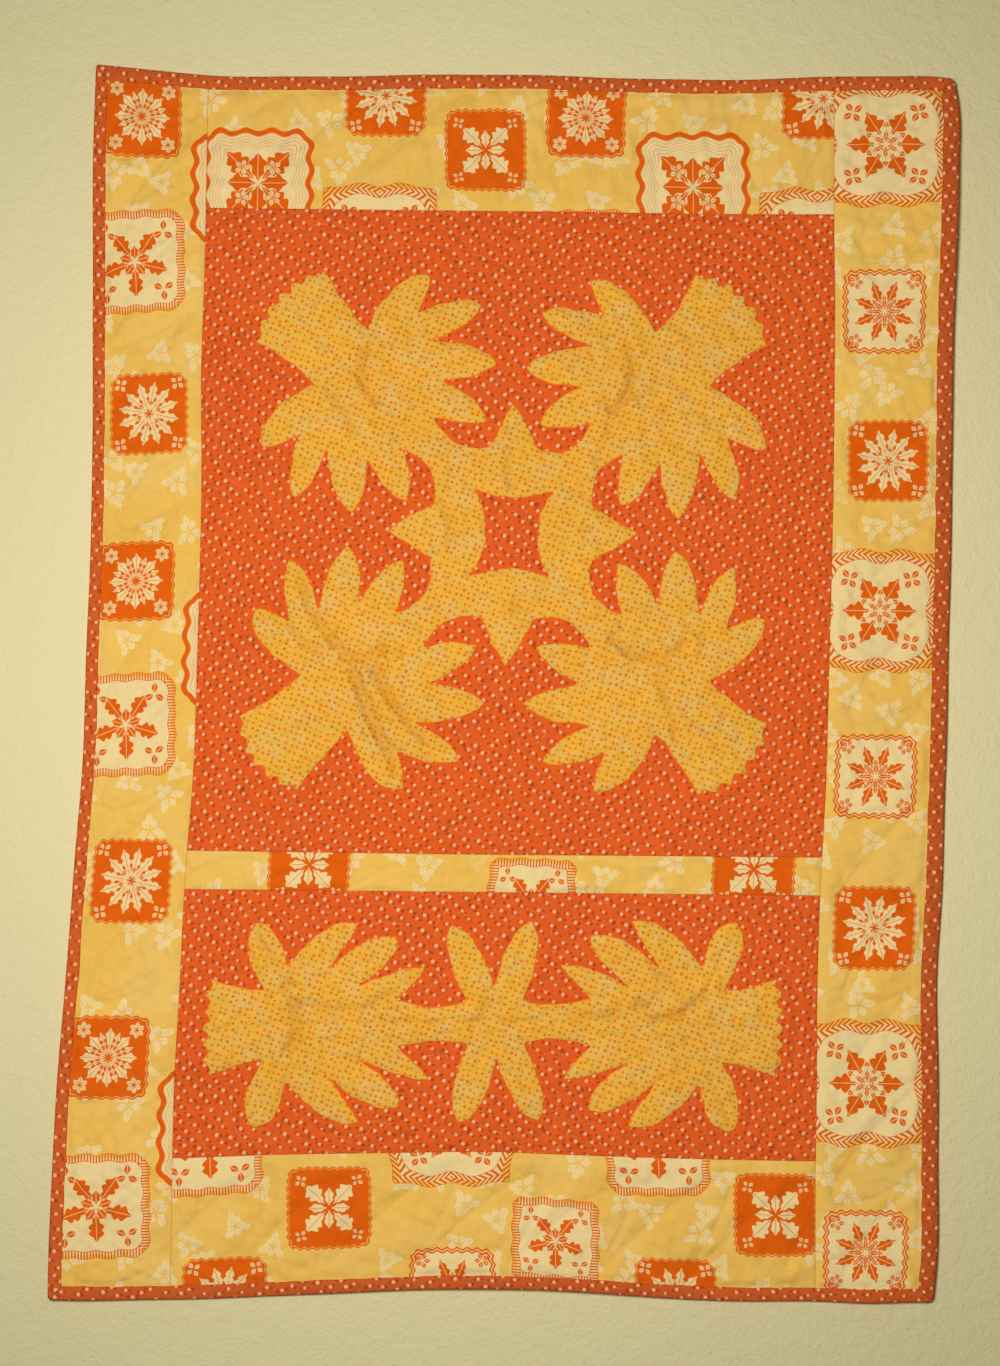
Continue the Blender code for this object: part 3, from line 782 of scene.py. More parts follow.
frameLook = {
    "roundness": 7.0,
    "stripes": (0.25, -0.15),
    "stripeReach": 1.02,
    "stripeClear": (0.0003, 0.0007),
    "midLine": (0.00055, 0.00025),
    "bandEdge": (-0.00012, 0.00018),
    "contourPitch": 0.0023,
    "contours": (0.55, 0.85),
    "contourReach": (-0.0135, -0.0125),
    "inside": (0.0002, -0.0002),
}


# the frame of a printed square: edge = (|x|^7 + |y|^7)^(1/7) - half + wave cos(2 pi s/length), with s
# along the side
def printedFrame():
    group, given, result = newGroup(
        "printedFrame",
        {
            "Place": None, "Half": 0.03, "Line": 0.0014, "Wave": 0.0006, "WaveLength": 0.007,
            "StripePitch": 0.003, "StripeSlant": 1.0, "MidLine": 1.0, "Contours": 0.0, "Stripes": 0.0,
        },
        ("Inside", "Band", "Contour"),
    )
    look, power = frameLook, frameLook["roundness"]
    x, y, _ = apart(abs(given["Place"]))
    box = (x**power + y**power) ** (1 / power)
    side = smaller(x, y)
    bend = cosine(side / given["WaveLength"] * fullTurn)
    edge = bend * given["Wave"] + (box - given["Half"])
    deep = abs(edge)
    slanted = deep * given["StripeSlant"] + side
    stripe = rise(cosine(slanted / given["StripePitch"] * fullTurn), *look["stripes"]) * given["Stripes"]
    stripe = stripe * rise(given["Line"] * look["stripeReach"] - deep, *look["stripeClear"])
    midLine = rise(deep, *look["midLine"]) * given["MidLine"]
    contour = rise(cosine(edge * (fullTurn / look["contourPitch"])), *look["contours"])
    contour = contour * rise(edge, *look["contourReach"])
    feed(result["Inside"], rise(edge, *look["inside"]))
    feed(result["Band"], rise(given["Line"] - deep, *look["bandEdge"]) * (1.0 - larger(stripe, midLine)))
    feed(result["Contour"], contour * given["Contours"])
    return group


weave, dots, ring, square = plainWeave(), scatteredDots(), leafRing(), printedFrame()

clothColours = {
    "orange": (0.765, 0.114, 0.0165, 1),
    "orangeDeep": (0.680, 0.092, 0.0125, 1),
    # the binding's cotton, duller than the panel's
    "bindingOrange": (0.665, 0.114, 0.0190, 1),
    "bindingOrangeDeep": (0.475, 0.086, 0.0175, 1),
    "paleDot": (0.870, 0.430, 0.220, 1),
    "brownDot": (0.370, 0.042, 0.006, 1),
    "yellow": (0.785, 0.400, 0.045, 1),
    "yellowPale": (0.715, 0.440, 0.110, 1),
    "yellowDeep": (0.690, 0.345, 0.034, 1),
    # painted shade for the plants' creases
    "yellowCreaseShade": (0.560, 0.250, 0.020, 1),
    "orangeDot": (0.745, 0.200, 0.006, 1),
    "brownSpeck": (0.600, 0.175, 0.009, 1),
    # painted orange bounce light of the panel, on the plants' turned-in edges
    "paintedEdgeBounce": (0.880, 0.220, 0.014, 1),
    "border": (0.792, 0.462, 0.085, 1),
    "borderPale": (0.790, 0.488, 0.115, 1),
    "cream": (0.805, 0.600, 0.268, 1),
    "ink": (0.720, 0.110, 0.004, 1),
    "back": (0.760, 0.690, 0.540, 1),
    "thread": (0.900, 0.260, 0.080, 1),
}


def newMaterial(name, roughness, specular=0.5):
    material = bpy.data.materials.new(name)
    material.use_nodes = True
    tree = material.node_tree
    shader = tree.nodes["Principled BSDF"]
    shader.inputs["Roughness"].default_value = roughness
    shader.inputs["Specular IOR Level"].default_value = specular
    return material, tree, shader


# what all the cottons share; the shades are the least share of the colour and what is added to it
cottonLook = {
    "roughness": 0.9,
    "specular": 0.03,
    "threadShade": (0.84, 0.16),
    "cloudShade": (0.93, 0.14),
    "cloudScale": 16.0,
    "weaveHeight": 0.00006,
    "fibreScale": 900.0,
    "fibreHeight": 0.00008,
    "detail": 3.0,
    "rumpleScale": 120.0,
    "rumpleHeight": 0.0010,
    "bump": 0.9,
}


# a new matt cotton: its tree, shader, place on the cloth and weave
def cotton(name):
    material, tree, shader = newMaterial(name, cottonLook["roughness"], cottonLook["specular"])
    place = uvPlace(tree, "clothPlace")
    return material, tree, shader, place, useGroup(weave, Place=place)


# finish: the colour varied by threads and clouds, and a bump of the weave, its fibres and small rumples
def finishCotton(shader, place, threads, base, extraHeight=None):
    look = cottonLook
    least, added = look["threadShade"]
    base = shaded(base, threads["Shade"] * added + least)
    least, added = look["cloudShade"]
    base = shaded(base, clouds(place, look["cloudScale"], look["detail"]) * added + least)
    feed(shader.inputs["Base Color"], base)
    fibre = clouds(place, look["fibreScale"], look["detail"]) * look["fibreHeight"]
    rumple = clouds(place, look["rumpleScale"], look["detail"]) * look["rumpleHeight"]
    height = threads["Height"] * look["weaveHeight"] + (fibre + rumple)
    bumped(shader, height if extraHeight is None else height + extraHeight, look["bump"])


# a pair is where the effect starts and where it is full
dottedLook = {
    "beside": (0.00214, 0.00107, 0),  # from a pale dot to its brown ones
    "brownShare": 0.8,
    "deepScale": 60.0,
    "deepShare": 0.5,  # beside the painted side shade
    "thread": (0.00050, 0.00020),
    "threadFrom": (0.003, 0.005),
    "threadSeen": (0.40, 0.56),
    "threadScale": 280.0,
    "threadShare": 0.6,
    "furrow": 0.0003,
}


# orange cotton with pale dots, each between two brown ones, and the echo quilting's thread
def dottedCotton(name, ground, turnOf, echoed, sideShade):
    look = dottedLook
    material, tree, shader, place, threads = cotton(name)
    spots = useGroup(dots, Place=spun(place, turnOf), Beside=look["beside"])
    deep = clouds(place, look["deepScale"])
    # the binding: painted shade on each side, darkest where that side turns from the lamp
    if sideShade:
        deep = deep * look["deepShare"] + attributeOf(tree, "sideShade")
    base = blended(deep, clothColours[ground], clothColours[ground + "Deep"])
    base = blended(spots["Companion"] * look["brownShare"], base, clothColours["brownDot"])
    base = blended(spots["Dot"], base, clothColours["paleDot"])
    furrow = None
    if echoed:
        away, half = attributeOf(tree, "away"), quilting["echo"] / 2
        line = rise(abs(worked("WRAP", away - quilting["echoStart"], half, -half)), *look["thread"])
        line = line * rise(away, *look["threadFrom"])
        seen = line * rise(clouds(place, look["threadScale"]), *look["threadSeen"])
        base = blended(seen * look["threadShare"], base, clothColours["thread"])
        furrow = line * -look["furrow"]
    finishCotton(shader, place, threads, base, furrow)
    return material


mottledLook = {
    "turn": 0.35,
    "dots": {
        "Pitch": 0.0044,
        "Jitter": 0.45,
        "Radius": 0.00105,
        "CompanionRadius": 0.0004,
        "Beside": (0.0023, 0.0006, 0),
        "Wander": 0.0030,
        "Soft": 0.0003,
    },
    "pale": (0.40, 0.70),
    "paleScale": 60.0,
    "detail": 3.0,
    "deep": (0.50, 0.66),
    "deepScale": 170.0,
    "deepShare": 0.6,
    "speckShare": 0.35,
    "brown": (0.5, 0.95),
    "dotShare": 0.95,
    # share of the painted shade in the creases
    "creaseShadeShare": 0.45,
    # where and how much of the painted orange bounce light falls on the turned-in edge
    "paintedEdgeBounce": (0.0011, 0.0001),
    "edgeBounceShare": 0.8,
}


# yellow cotton, mottled with paler and deeper patches, with fine orange dots, some of them brown
def mottledCotton():
    look = mottledLook
    material, tree, shader, place, threads = cotton("mottledCotton")
    spots = useGroup(dots, Place=spun(place, look["turn"]), **look["dots"])
    pale = rise(clouds(place, look["paleScale"], look["detail"]), *look["pale"])
    deep = rise(clouds(place, look["deepScale"], look["detail"]), *look["deep"])
    base = blended(pale, clothColours["yellow"], clothColours["yellowPale"])
    base = blended(deep * look["deepShare"], base, clothColours["yellowDeep"])
    base = blended(spots["Companion"] * look["speckShare"], base, clothColours["brownSpeck"])
    brown = rise(spots["Random"], *look["brown"])
    spot = blended(brown, clothColours["orangeDot"], clothColours["brownSpeck"])
    base = blended(spots["Dot"] * look["dotShare"], base, spot)
    # painted shade in the crease troughs, by the fold attribute
    base = blended(attributeOf(tree, "fold") * look["creaseShadeShare"], base, clothColours["yellowCreaseShade"])
    # painted orange bounce light of the panel, and painted shade, on the turned-in edge
    turnedIn = rise(attributeOf(tree, "fromRim"), *look["paintedEdgeBounce"])
    base = blended(turnedIn * look["edgeBounceShare"], base, clothColours["paintedEdgeBounce"])
    finishCotton(shader, place, threads, base)
    return material


printLook = {
    "paleGround": (0.4, 0.7),
    "groundScale": 22.0,
    "blossomPitch": 0.0285,
    "blossomJitter": 0.6,
    "blossomTurn": 0.5,
    "blossomReach": (0.0068, 0.0028),
    "blossomShare": (0.95, -0.45),
    "blossomSeen": (0.10, 0.14),
    "petals": {
        "Count": 5.0, "Start": 0.0006, "HalfWidth": 0.0032, "Fullness": 1.4, "Lobes": 2.0, "Notch": 0.25,
    },
    "leaves": {
        "Count": 3.0, "Start": 0.004, "HalfWidth": 0.0031, "Fullness": 0.9, "Lobes": 3.0, "Notch": 0.3,
    },
    "leavesBeyond": 0.0040,
    "leavesTurn": 0.6,
    "outer": {"Lobes": 4.0, "Notch": 0.42},
    "outerStart": 0.12,
    "inner": {"Start": 0.0010, "Fullness": 1.2, "Lobes": 3.0, "Notch": 0.3},
    "corner": {"Start": 0.0007, "Fullness": 1.1, "Turn": 0.6},
    "cornerHalf": 0.30,
    "veinShare": 0.7,
    "contourShare": 0.45,
    "sewnLine": (0.0024, 0.0006),
    # painted shade along the waved quilting line
    "sewnPaintedShade": -0.05,
    "sewnHeight": -0.0003,
}


# small blossoms of petals and leaves on a jittered lattice, as a mask
def blossomMask(place):
    look = printLook
    turnedPlace = spun(place, look["blossomTurn"])
    values, centre = lattice(turnedPlace, 1 / look["blossomPitch"], look["blossomJitter"])
    red, green, blue = apart(values)
    local, turnOf = turnedPlace - centre, red * fullTurn
    least, added = look["blossomReach"]
    reach = green * added + least
    beyond, leavesTurn = reach + look["leavesBeyond"], turnOf + look["leavesTurn"]
    petals = useGroup(ring, Place=local, Reach=reach, Turn=turnOf, **look["petals"])
    leaves = useGroup(ring, Place=local, Reach=beyond, Turn=leavesTurn, **look["leaves"])
    full, veined = look["blossomShare"]
    mask = larger(petals["Leaf"], leaves["Leaf"]) * (larger(petals["Vein"], leaves["Vein"]) * veined + full)
    return mask * rise(blue, *look["blossomSeen"])


# the inputs of printedFrame, by the attribute of the faces that carries three of them
frameInputs = {
    "motifFrame": ("Half", "Line", "Wave"),
    "motifBand": ("WaveLength", "StripePitch", "StripeSlant"),
    "motifLines": ("MidLine", "Contours", "Stripes"),
}


# yellow cotton with pale blossoms, and squares whose frames and leaf rings come from the motif table
def printedCotton():
    look = printLook
    material, tree, shader, place, threads = cotton("printedCotton")
    pale = rise(clouds(place, look["groundScale"]), *look["paleGround"])
    base = blended(pale, clothColours["border"], clothColours["borderPale"])
    base = blended(blossomMask(place), base, clothColours["cream"])

    spot = uvPlace(tree, "motifPlace")
    frameValues = {}
    for name, keys in frameInputs.items():
        frameValues.update(zip(keys, apart(attributeOf(tree, name, True))))
    framed = useGroup(square, Place=spot, **frameValues)
    fill, turnOf, fullness = apart(attributeOf(tree, "motifGround", True))
    innerCount, innerReach, innerHalf = apart(attributeOf(tree, "motifInner", True))
    outerCount, outerReach, outerHalf = apart(attributeOf(tree, "motifOuter", True))
    cornerCount, cornerPlace, cornerReach = apart(attributeOf(tree, "motifCorner", True))
    outer = useGroup(
        ring, Place=spot, Count=outerCount, Start=outerReach * look["outerStart"], Reach=outerReach,
        HalfWidth=outerHalf, Fullness=fullness, Turn=turnOf, **look["outer"],
    )
    inner = useGroup(
        ring, Place=spot, Count=innerCount, Reach=innerReach, HalfWidth=innerHalf,
        Turn=turnOf + math.pi / innerCount, **look["inner"],
    )
    corner = useGroup(
        ring, Place=abs(spot) - together(cornerPlace, cornerPlace), Count=cornerCount, Reach=cornerReach,
        HalfWidth=cornerReach * look["cornerHalf"], **look["corner"],
    )
    ink = fill
    for part in (outer, inner, corner):
        ink = abs(ink - part["Leaf"])
    veins = larger(outer["Vein"], larger(inner["Vein"], corner["Vein"]))
    ink = larger(abs(ink - veins * look["veinShare"]), framed["Contour"] * look["contourShare"])
    base = blended(framed["Inside"], base, blended(ink, clothColours["cream"], clothColours["ink"]))
    base = blended(framed["Band"], base, clothColours["ink"])
    sewn = rise(attributeOf(tree, "fromWave"), *look["sewnLine"])
    # painted shade along the waved quilting line's groove, beside its dent in the bump
    base = shaded(base, sewn * look["sewnPaintedShade"] + 1.0)
    finishCotton(shader, place, threads, base, sewn * look["sewnHeight"])
    return material


backLook = {"furrowFrom": (0.003, 0.006), "furrow": 0.0006}


# plain cotton at the back; the echo quilting shows as soft furrows
def backCotton():
    material, tree, shader, place, threads = cotton("backCotton")
    away = attributeOf(tree, "away")
    wave = sine((away - quilting["echoStart"]) * (math.pi / quilting["echo"]))
    furrow = wave * wave * rise(away, *backLook["furrowFrom"])
    finishCotton(shader, place, threads, clothColours["back"], furrow * backLook["furrow"])
    return material


print("quilt: making the cottons")
# the quilting: echo lines round the plants and waved lines in the border; an uneven part is given by its
# height and its shortest and longest wave, a pair by where it starts and where it is full
quilting = {
    "echo": 0.0122,
    "echoStart": 0.0095,
    "puff": 0.0013,
    "puffSharpness": 1.3,
    "puffUneven": (0.35, 0.012, 0.06),
    "panelPucker": (0.00050, 0.015, 0.08),
    "besidePlant": (0, 0.004),
    "underPlant": (0.003, 0.007),
    "sunk": 0.0012,  # how far the panel lies deeper under a plant
    "softEdge": 0.008,
    "wavePitch": 0.070,
    "waveShare": 0.33,
    "waveUneven": 0.15,
    "waveLean": 0.8,
    "waveRound": 0.008,
    "waveTrough": 0.0055,
    "waveSteps": 24,
    "waveEnds": 0.1,  # of a turn, left out at each end
    "waveDrift": (2.3, 1),
    "borderPuff": 0.0016,
    "borderEdge": 0.006,
    "borderUneven": (0.3, 0.012, 0.05),
    "borderPucker": ((0.00055, 0.008, 0.03), (0.0006, 0.03, 0.1)),
    "borderHollow": 0.0005,
    "deepest": {"panel": -0.0003, "border": -0.0002},
}
panelCloth = dottedCotton("dottedCotton", "orange", 0.93, True, False)
bindingCloth = dottedCotton("bindingCotton", "bindingOrange", 0.55, False, True)
plantCloth = mottledCotton()
borderCloth = printedCotton()
backCloth = backCotton()

# main creases, given one by one: half width, depth (below nought for a ridge) and the line's places
creases = [
    (0.0031, 0.0023, [(-0.110, 0.203), (-0.114, 0.218), (-0.110, 0.234), (-0.101, 0.242)]),
    (0.0035, 0.0015, [(-0.136, 0.235), (-0.125, 0.249), (-0.120, 0.262)]),
    (0.0031, 0.0023, [(0.078, 0.201), (0.082, 0.217), (0.078, 0.235), (0.067, 0.246)]),
    (0.0035, 0.0012, [(0.074, 0.237), (0.063, 0.267), (0.055, 0.282)]),
    (0.0031, 0.0037, [(-0.116, 0.440), (-0.106, 0.466), (-0.091, 0.492), (-0.081, 0.512)]),
    (0.0035, 0.0026, [(-0.130, 0.416), (-0.123, 0.427), (-0.108, 0.430), (-0.095, 0.422)]),
    (0.0031, 0.0026, [(-0.156, 0.372), (-0.151, 0.390), (-0.141, 0.406), (-0.131, 0.419)]),
    (0.0031, 0.0017, [(-0.172, 0.400), (-0.160, 0.413), (-0.144, 0.424)]),
    (0.0033, 0.0030, [(-0.100, 0.436), (-0.090, 0.457), (-0.076, 0.474), (-0.064, 0.487)]),
    (0.0033, 0.0023, [(0.070, 0.413), (0.087, 0.425), (0.108, 0.427), (0.122, 0.417)]),
    (0.0033, 0.0015, [(0.105, 0.443), (0.111, 0.461), (0.118, 0.486)]),
    (0.0026, 0.0018, [(-0.008, 0.275), (-0.008, 0.288), (-0.005, 0.305)]),
    (0.0035, 0.0015, [(-0.056, 0.312), (-0.048, 0.326), (-0.050, 0.344)]),
    (0.0031, 0.0015, [(0.000, 0.384), (-0.002, 0.397)]),
    (0.0021, 0.0008, [(-0.118, 0.690), (-0.062, 0.6925), (-0.004, 0.6895), (0.058, 0.689), (0.122, 0.686)]),
    (0.0036, 0.0014, [(-0.146, 0.679), (-0.122, 0.684), (-0.098, 0.682), (-0.082, 0.673)]),
    (0.0036, 0.0014, [(0.030, 0.680), (0.052, 0.684), (0.076, 0.686), (0.098, 0.680)]),
    (0.0033, 0.0012, [(-0.040, 0.700), (-0.022, 0.696), (-0.010, 0.684), (-0.008, 0.668)]),
    (0.0035, 0.0023, [(-0.156, 0.666), (-0.147, 0.680), (-0.144, 0.698), (-0.150, 0.712)]),
    (0.0031, 0.0018, [(-0.174, 0.634), (-0.158, 0.658), (-0.145, 0.669)]),
    (0.0035, 0.0023, [(0.100, 0.674), (0.112, 0.687), (0.129, 0.684), (0.147, 0.670)]),
    (0.0031, 0.0015, [(0.110, 0.649), (0.126, 0.666), (0.136, 0.673)]),
    (0.0031, -0.0020, [(-0.223, 0.201), (-0.215, 0.216), (-0.203, 0.231), (-0.194, 0.244)]),
    (0.0028, -0.0018, [(-0.210, 0.190), (-0.200, 0.205), (-0.190, 0.217)]),
    (0.0031, -0.0018, [(-0.229, 0.239), (-0.228, 0.264), (-0.229, 0.294)]),
    (0.0028, -0.0015, [(-0.209, 0.242), (-0.206, 0.272), (-0.209, 0.298)]),
]
creaseShape = {"beside": 0.45, "besideAt": 2.2, "reach": (0.16, 0.08)}


# each crease: depth (0.45 exp(-(d/width - 2.2)^2) - exp(-(d/width)^2)), d from the crease's line
def creased(across, drop):
    total = np.zeros(np.shape(across))
    reachAcross, reachDown = creaseShape["reach"]
    for width, depth, line in creases:
        line = np.array(line)
        near = np.abs(across - line[:, 0].mean()) < reachAcross
        near &= np.abs(drop - line[:, 1].mean()) < reachDown
        d = distanceTo(across[near], drop[near], line, closed=False)
        beside = creaseShape["beside"] * np.exp(-(((d - creaseShape["besideAt"] * width) / width) ** 2))
        total[near] += depth * (beside - np.exp(-((d / width) ** 2)))
    return total


# the dotted panels: relief = puff |sin(pi (away - start)/echo)|^1.3 away from the plant, and sunk under it
def panelMeasure(loops, top, foot, seed):
    start, echo = quilting["echoStart"], quilting["echo"]

    def measure(across, drop):
        away = nearestTo(across, drop, loops)
        away[insideOf(across, drop, loops)] *= -1
        first = np.sin(np.pi * np.clip(away, 0, start) / start)
        channel = np.where(away < start, first, np.abs(np.sin(np.pi * (away - start) / echo)))
        edge = softStep(0, quilting["softEdge"], fromSides(across, drop, leftSeam, top, rightSeam, foot))
        plump = 1 + uneven(across, drop, quilting["puffUneven"], seed)
        relief = quilting["puff"] * channel ** quilting["puffSharpness"] * plump * edge * (away > 0)
        outside = softStep(*quilting["besidePlant"], away) * edge
        relief += outside * (creased(across, drop) + uneven(across, drop, quilting["panelPucker"], seed + 1))
        sunk = quilting["sunk"] * softStep(*quilting["underPlant"], -away)
        return np.maximum(relief, quilting["deepest"]["panel"]) - sunk, np.zeros(len(across)), {"away": away}

    return measure


# the waved line along a strip: aside = b cos(2 pi t), along = l t/turns - lean aside - r sin(2 pi t), with an
# uneven b, so that its strokes slant
def wavedLine(left, top, right, foot):
    wide = right - left > foot - top
    length, centre = (right - left, (top + foot) / 2) if wide else (foot - top, (left + right) / 2)
    turns = max(1, round(length / quilting["wavePitch"]))
    t = np.linspace(quilting["waveEnds"], turns - quilting["waveEnds"], quilting["waveSteps"] * turns)
    breadth = quilting["waveShare"] * min(right - left, foot - top)
    pace, phase = quilting["waveDrift"]
    aside = breadth * (1 + quilting["waveUneven"] * np.sin(pace * t + phase)) * np.cos(2 * math.pi * t)
    along = (left if wide else top) + length * t / turns - quilting["waveLean"] * aside
    along -= quilting["waveRound"] * np.sin(2 * math.pi * t)
    return np.column_stack([along, centre + aside] if wide else [centre + aside, along])


# the border strips: relief = puff (1 - exp(-(d/trough)^2)), d from the waved line
def stripMeasure(left, top, right, foot, seed):
    line = wavedLine(left, top, right, foot)
    hemSides = (
        leftEdge + quilt["bindingLeft"],
        quilt["bindingTop"],
        rightEdge - quilt["bindingRight"],
        quiltHeight - quilt["bindingBottom"],
    )

    def measure(across, drop):
        d = distanceTo(across, drop, line, closed=False)
        held = softStep(0, quilting["borderEdge"], fromSides(across, drop, *hemSides))
        held *= softStep(0, quilting["borderEdge"], fromSides(across, drop, left, top, right, foot))
        swell = 1 - np.exp(-((d / quilting["waveTrough"]) ** 2))
        swell *= 1 + uneven(across, drop, quilting["borderUneven"], seed)
        fine, broad = quilting["borderPucker"]
        pucker = uneven(across, drop, fine, seed + 1) + uneven(across, drop, broad, seed + 2)
        relief = held * (quilting["borderPuff"] * swell + pucker)
        hollow = quilting["borderHollow"] * swell * held
        return np.maximum(relief, quilting["deepest"]["border"]), hollow, {"fromWave": d}

    return measure


# printed squares on one repeat of the border cloth: place across and down, half its size, turn, kind
clothRepeat = (0.320, 0.340)
printedSquares = [
    (0.040, 0.045, 0.0275, 0, "dahlia"),
    (0.036, 0.150, 0.0345, 2, "fringed"),
    (0.048, 0.262, 0.0285, 0, "wreath"),
    (0.118, 0.095, 0.0385, 0, "compass"),
    (0.121, 0.199, 0.0285, 0, "clover"),
    (0.132, 0.290, 0.0280, 0, "dahlia"),
    (0.212, 0.030, 0.0285, 0, "wreath"),
    (0.208, 0.140, 0.0400, 0, "rope"),
    (0.208, 0.261, 0.0285, 0, "sprig"),
    (0.286, 0.070, 0.0285, 0, "clover"),
    (0.282, 0.224, 0.0285, -2, "fringed"),
    (0.284, 0.292, 0.0275, 0, "dahlia"),
]
# the parts of each kind of square. Frame: -, line, wave; band: wave length, stripe pitch and slant; lines:
# mid line, contours, stripes; ground: ink or not, turn, fullness; inner and outer: count, reach, half width;
# corner: count, place, reach. Reaches, half widths and places are shares of half the square's size
motifParts = ("frame", "band", "lines", "ground", "inner", "outer", "corner")
motifKinds = {
    "dahlia": (
        (0, 0.0015, 0.0006), (0.0074, 0.01, 0), (1, 0, 0), (1, 0, 1.15),
        (8, 0.70, 0.115), (8, 0.76, 0.165), (6, 0.70, 0.22),
    ),
    "wreath": (
        (0, 0.0012, 0.0007), (0.0066, 0.01, 0), (1, 0, 0), (1, 0.2, 1.3),
        (6, 0.36, 0.120), (12, 0.84, 0.135), (4, 0.77, 0.20),
    ),
    "compass": (
        (0, 0.0020, 0.0015), (0.019, 0.01, 0), (0, 1, 0), (0, 0.7854, 1.15),
        (4, 0.58, 0.200), (4, 0.86, 0.230), (5, 0.30, 0.16),
    ),
    "rope": (
        (0, 0.0043, 0.0016), (0.0300, 0.0042, 1.3), (0, 0, 1), (0, 0, 0.9),
        (6, 0.40, 0.120), (6, 0.70, 0.180), (4, 0.58, 0.20),
    ),
    "fringed": (
        (0, 0.0028, 0.0007), (0.0170, 0.0021, 0), (0, 0, 1), (0, 0.3, 1.5),
        (5, 0.34, 0.100), (5, 0.74, 0.180), (3, 0.62, 0.24),
    ),
    "sprig": (
        (0, 0.0017, 0.0008), (0.0071, 0.01, 0), (1, 0, 0), (0, 0.3927, 1.1),
        (8, 0.44, 0.100), (8, 0.84, 0.140), (5, 0.74, 0.20),
    ),
    "clover": (
        (0, 0.0014, 0.0006), (0.0058, 0.01, 0), (1, 0, 0), (1, 0.7854, 1.6),
        (4, 0.52, 0.130), (4, 0.80, 0.240), (4, 0.70, 0.17),
    ),
}
unprinted = {"band": 1, "inner": (3, 0.001, 0), "outer": (3, 0.001, 0), "corner": (3, 0.001, 0)}
printMargin = 0.0065  # from a square's side to the last face that carries its frame


# each face of a strip gets the square that it lies in, and its corners their places from that square's centre
def placePrint(obj, left, top, cutAcross, cutDown):
    mesh = obj.data
    count = len(mesh.polygons)
    totals = np.empty(count, np.int32)
    mesh.polygons.foreach_get("loop_total", totals)
    flat = np.empty(len(mesh.loops) * 2, np.float32)
    mesh.uv_layers["clothPlace"].uv.foreach_get("vector", flat)
    flat = flat.reshape(-1, 2).astype(float)
    cloth = np.column_stack([flat[:, 0] - left + cutAcross, -flat[:, 1] - top + cutDown])
    face = np.repeat(np.arange(count), totals)
    centre = np.column_stack([np.bincount(face, cloth[:, k], count) for k in (0, 1)]) / totals[:, None]
    local = np.ones_like(cloth)
    values = {key: np.zeros((count, 3)) for key in motifParts}
    for key, numbers in unprinted.items():
        values[key][:] = numbers
    for across, down, half, turnOf, kind in printedSquares:
        tile = np.round((centre - (across, down)) / clothRepeat)
        offset = turned(centre - (across, down) - tile * clothRepeat, turnOf)
        found = np.abs(offset).max(axis=1) < half + printMargin
        each = cloth - (across, down) - tile[face] * clothRepeat
        local[found[face]] = turned(each[found[face]], turnOf) * (1, -1)
        for key, numbers in zip(motifParts, motifKinds[kind]):
            numbers = np.array(numbers, float)
            if key == "frame":
                numbers[0] = half
            if key in ("inner", "outer", "corner"):
                numbers[1:] *= half
            values[key][found] = numbers
    layer = mesh.uv_layers.new(name="motifPlace")
    layer.uv.foreach_set("vector", local.astype(np.float32).ravel())
    mesh.uv_layers.active_index = 0
    for key, numbers in values.items():
        attribute = mesh.attributes.new("motif" + key.capitalize(), "FLOAT_VECTOR", "FACE")
        attribute.data.foreach_set("vector", numbers.astype(np.float32).ravel())


print("quilt: sewing the panels")
panels = {
    "panel_large": (leftSeam, largeTop, rightSeam, largeFoot, squareLoops, 11),
    "panel_lower": (leftSeam, lowerTop, rightSeam, lowerFoot, longLoops, 21),
}
for name, (left, top, right, foot, loops, seed) in panels.items():
    measure = panelMeasure(loops, top, foot, seed)
    quiltedSheet(name, left, top, right, foot, measure, [panelCloth, backCloth])

print("quilt: sewing the border")
# each strip: its sides, where it is cut from the cloth, and its seed
strips = {
    "border_left": (leftEdge, 0, leftSeam, quiltHeight, 0.004, 0.010, 31),
    "border_right": (rightSeam, 0, rightEdge, quiltHeight, 0.172, 0.090, 41),
    "border_top": (leftSeam, 0, rightSeam, largeTop, 0.080, 0.014, 51),
    "border_sashing": (leftSeam, largeFoot, rightSeam, lowerTop, 0.030, 0.190, 61),
    "border_bottom": (leftSeam, lowerFoot, rightSeam, quiltHeight, 0.010, 0.160, 71),
}
for name, (left, top, right, foot, cutAcross, cutDown, seed) in strips.items():
    measure = stripMeasure(left, top, right, foot, seed)
    strip = quiltedSheet(name, left, top, right, foot, measure, [borderCloth, backCloth])
    placePrint(strip, left, top, cutAcross, cutDown)

# how a plant's cloth is cut, filled with points and sewn on
sewing = {
    "pitch": 0.00175,
    "rowPitch": 0.866,  # as a share of the pitch, for even triangles
    "handFine": (0.00028, 0.004, 0.016),
    "handBroad": (0.00050, 0.016, 0.050),
    "rings": (0.0004, 0.0010, 0.0018),  # rows of points inside the rim
    "ringKeep": 0.93,
    "innerFrom": 0.0026,
    "backPitch": 0.012,
    "backFrom": 0.004,
    "cloth": 0.0011,
    "turnRadius": 0.0013,
    "clear": 0.00006,  # from the quilt to the cloth
    "backClear": 0.00002,
    "leafPuff": 0.0014,
    "leafCrown": 0.0075,
    "leafUneven": (0.25, 0.012, 0.05),
    "veinShare": 0.75,
    "veinTrough": 0.0021,
    "veinFrom": (0.002, 0.006),
    "foldsFrom": (0, 0.006),
    "pucker": (0.00050, 0.008, 0.035),
    "leastCloth": 0.6,
    "leastSunk": 0.95,
    "leastFrom": (0.005, 0.009),
    # the crease depth at which the painted shade in a crease is full
    "creaseShadeDepth": 0.0024,
}


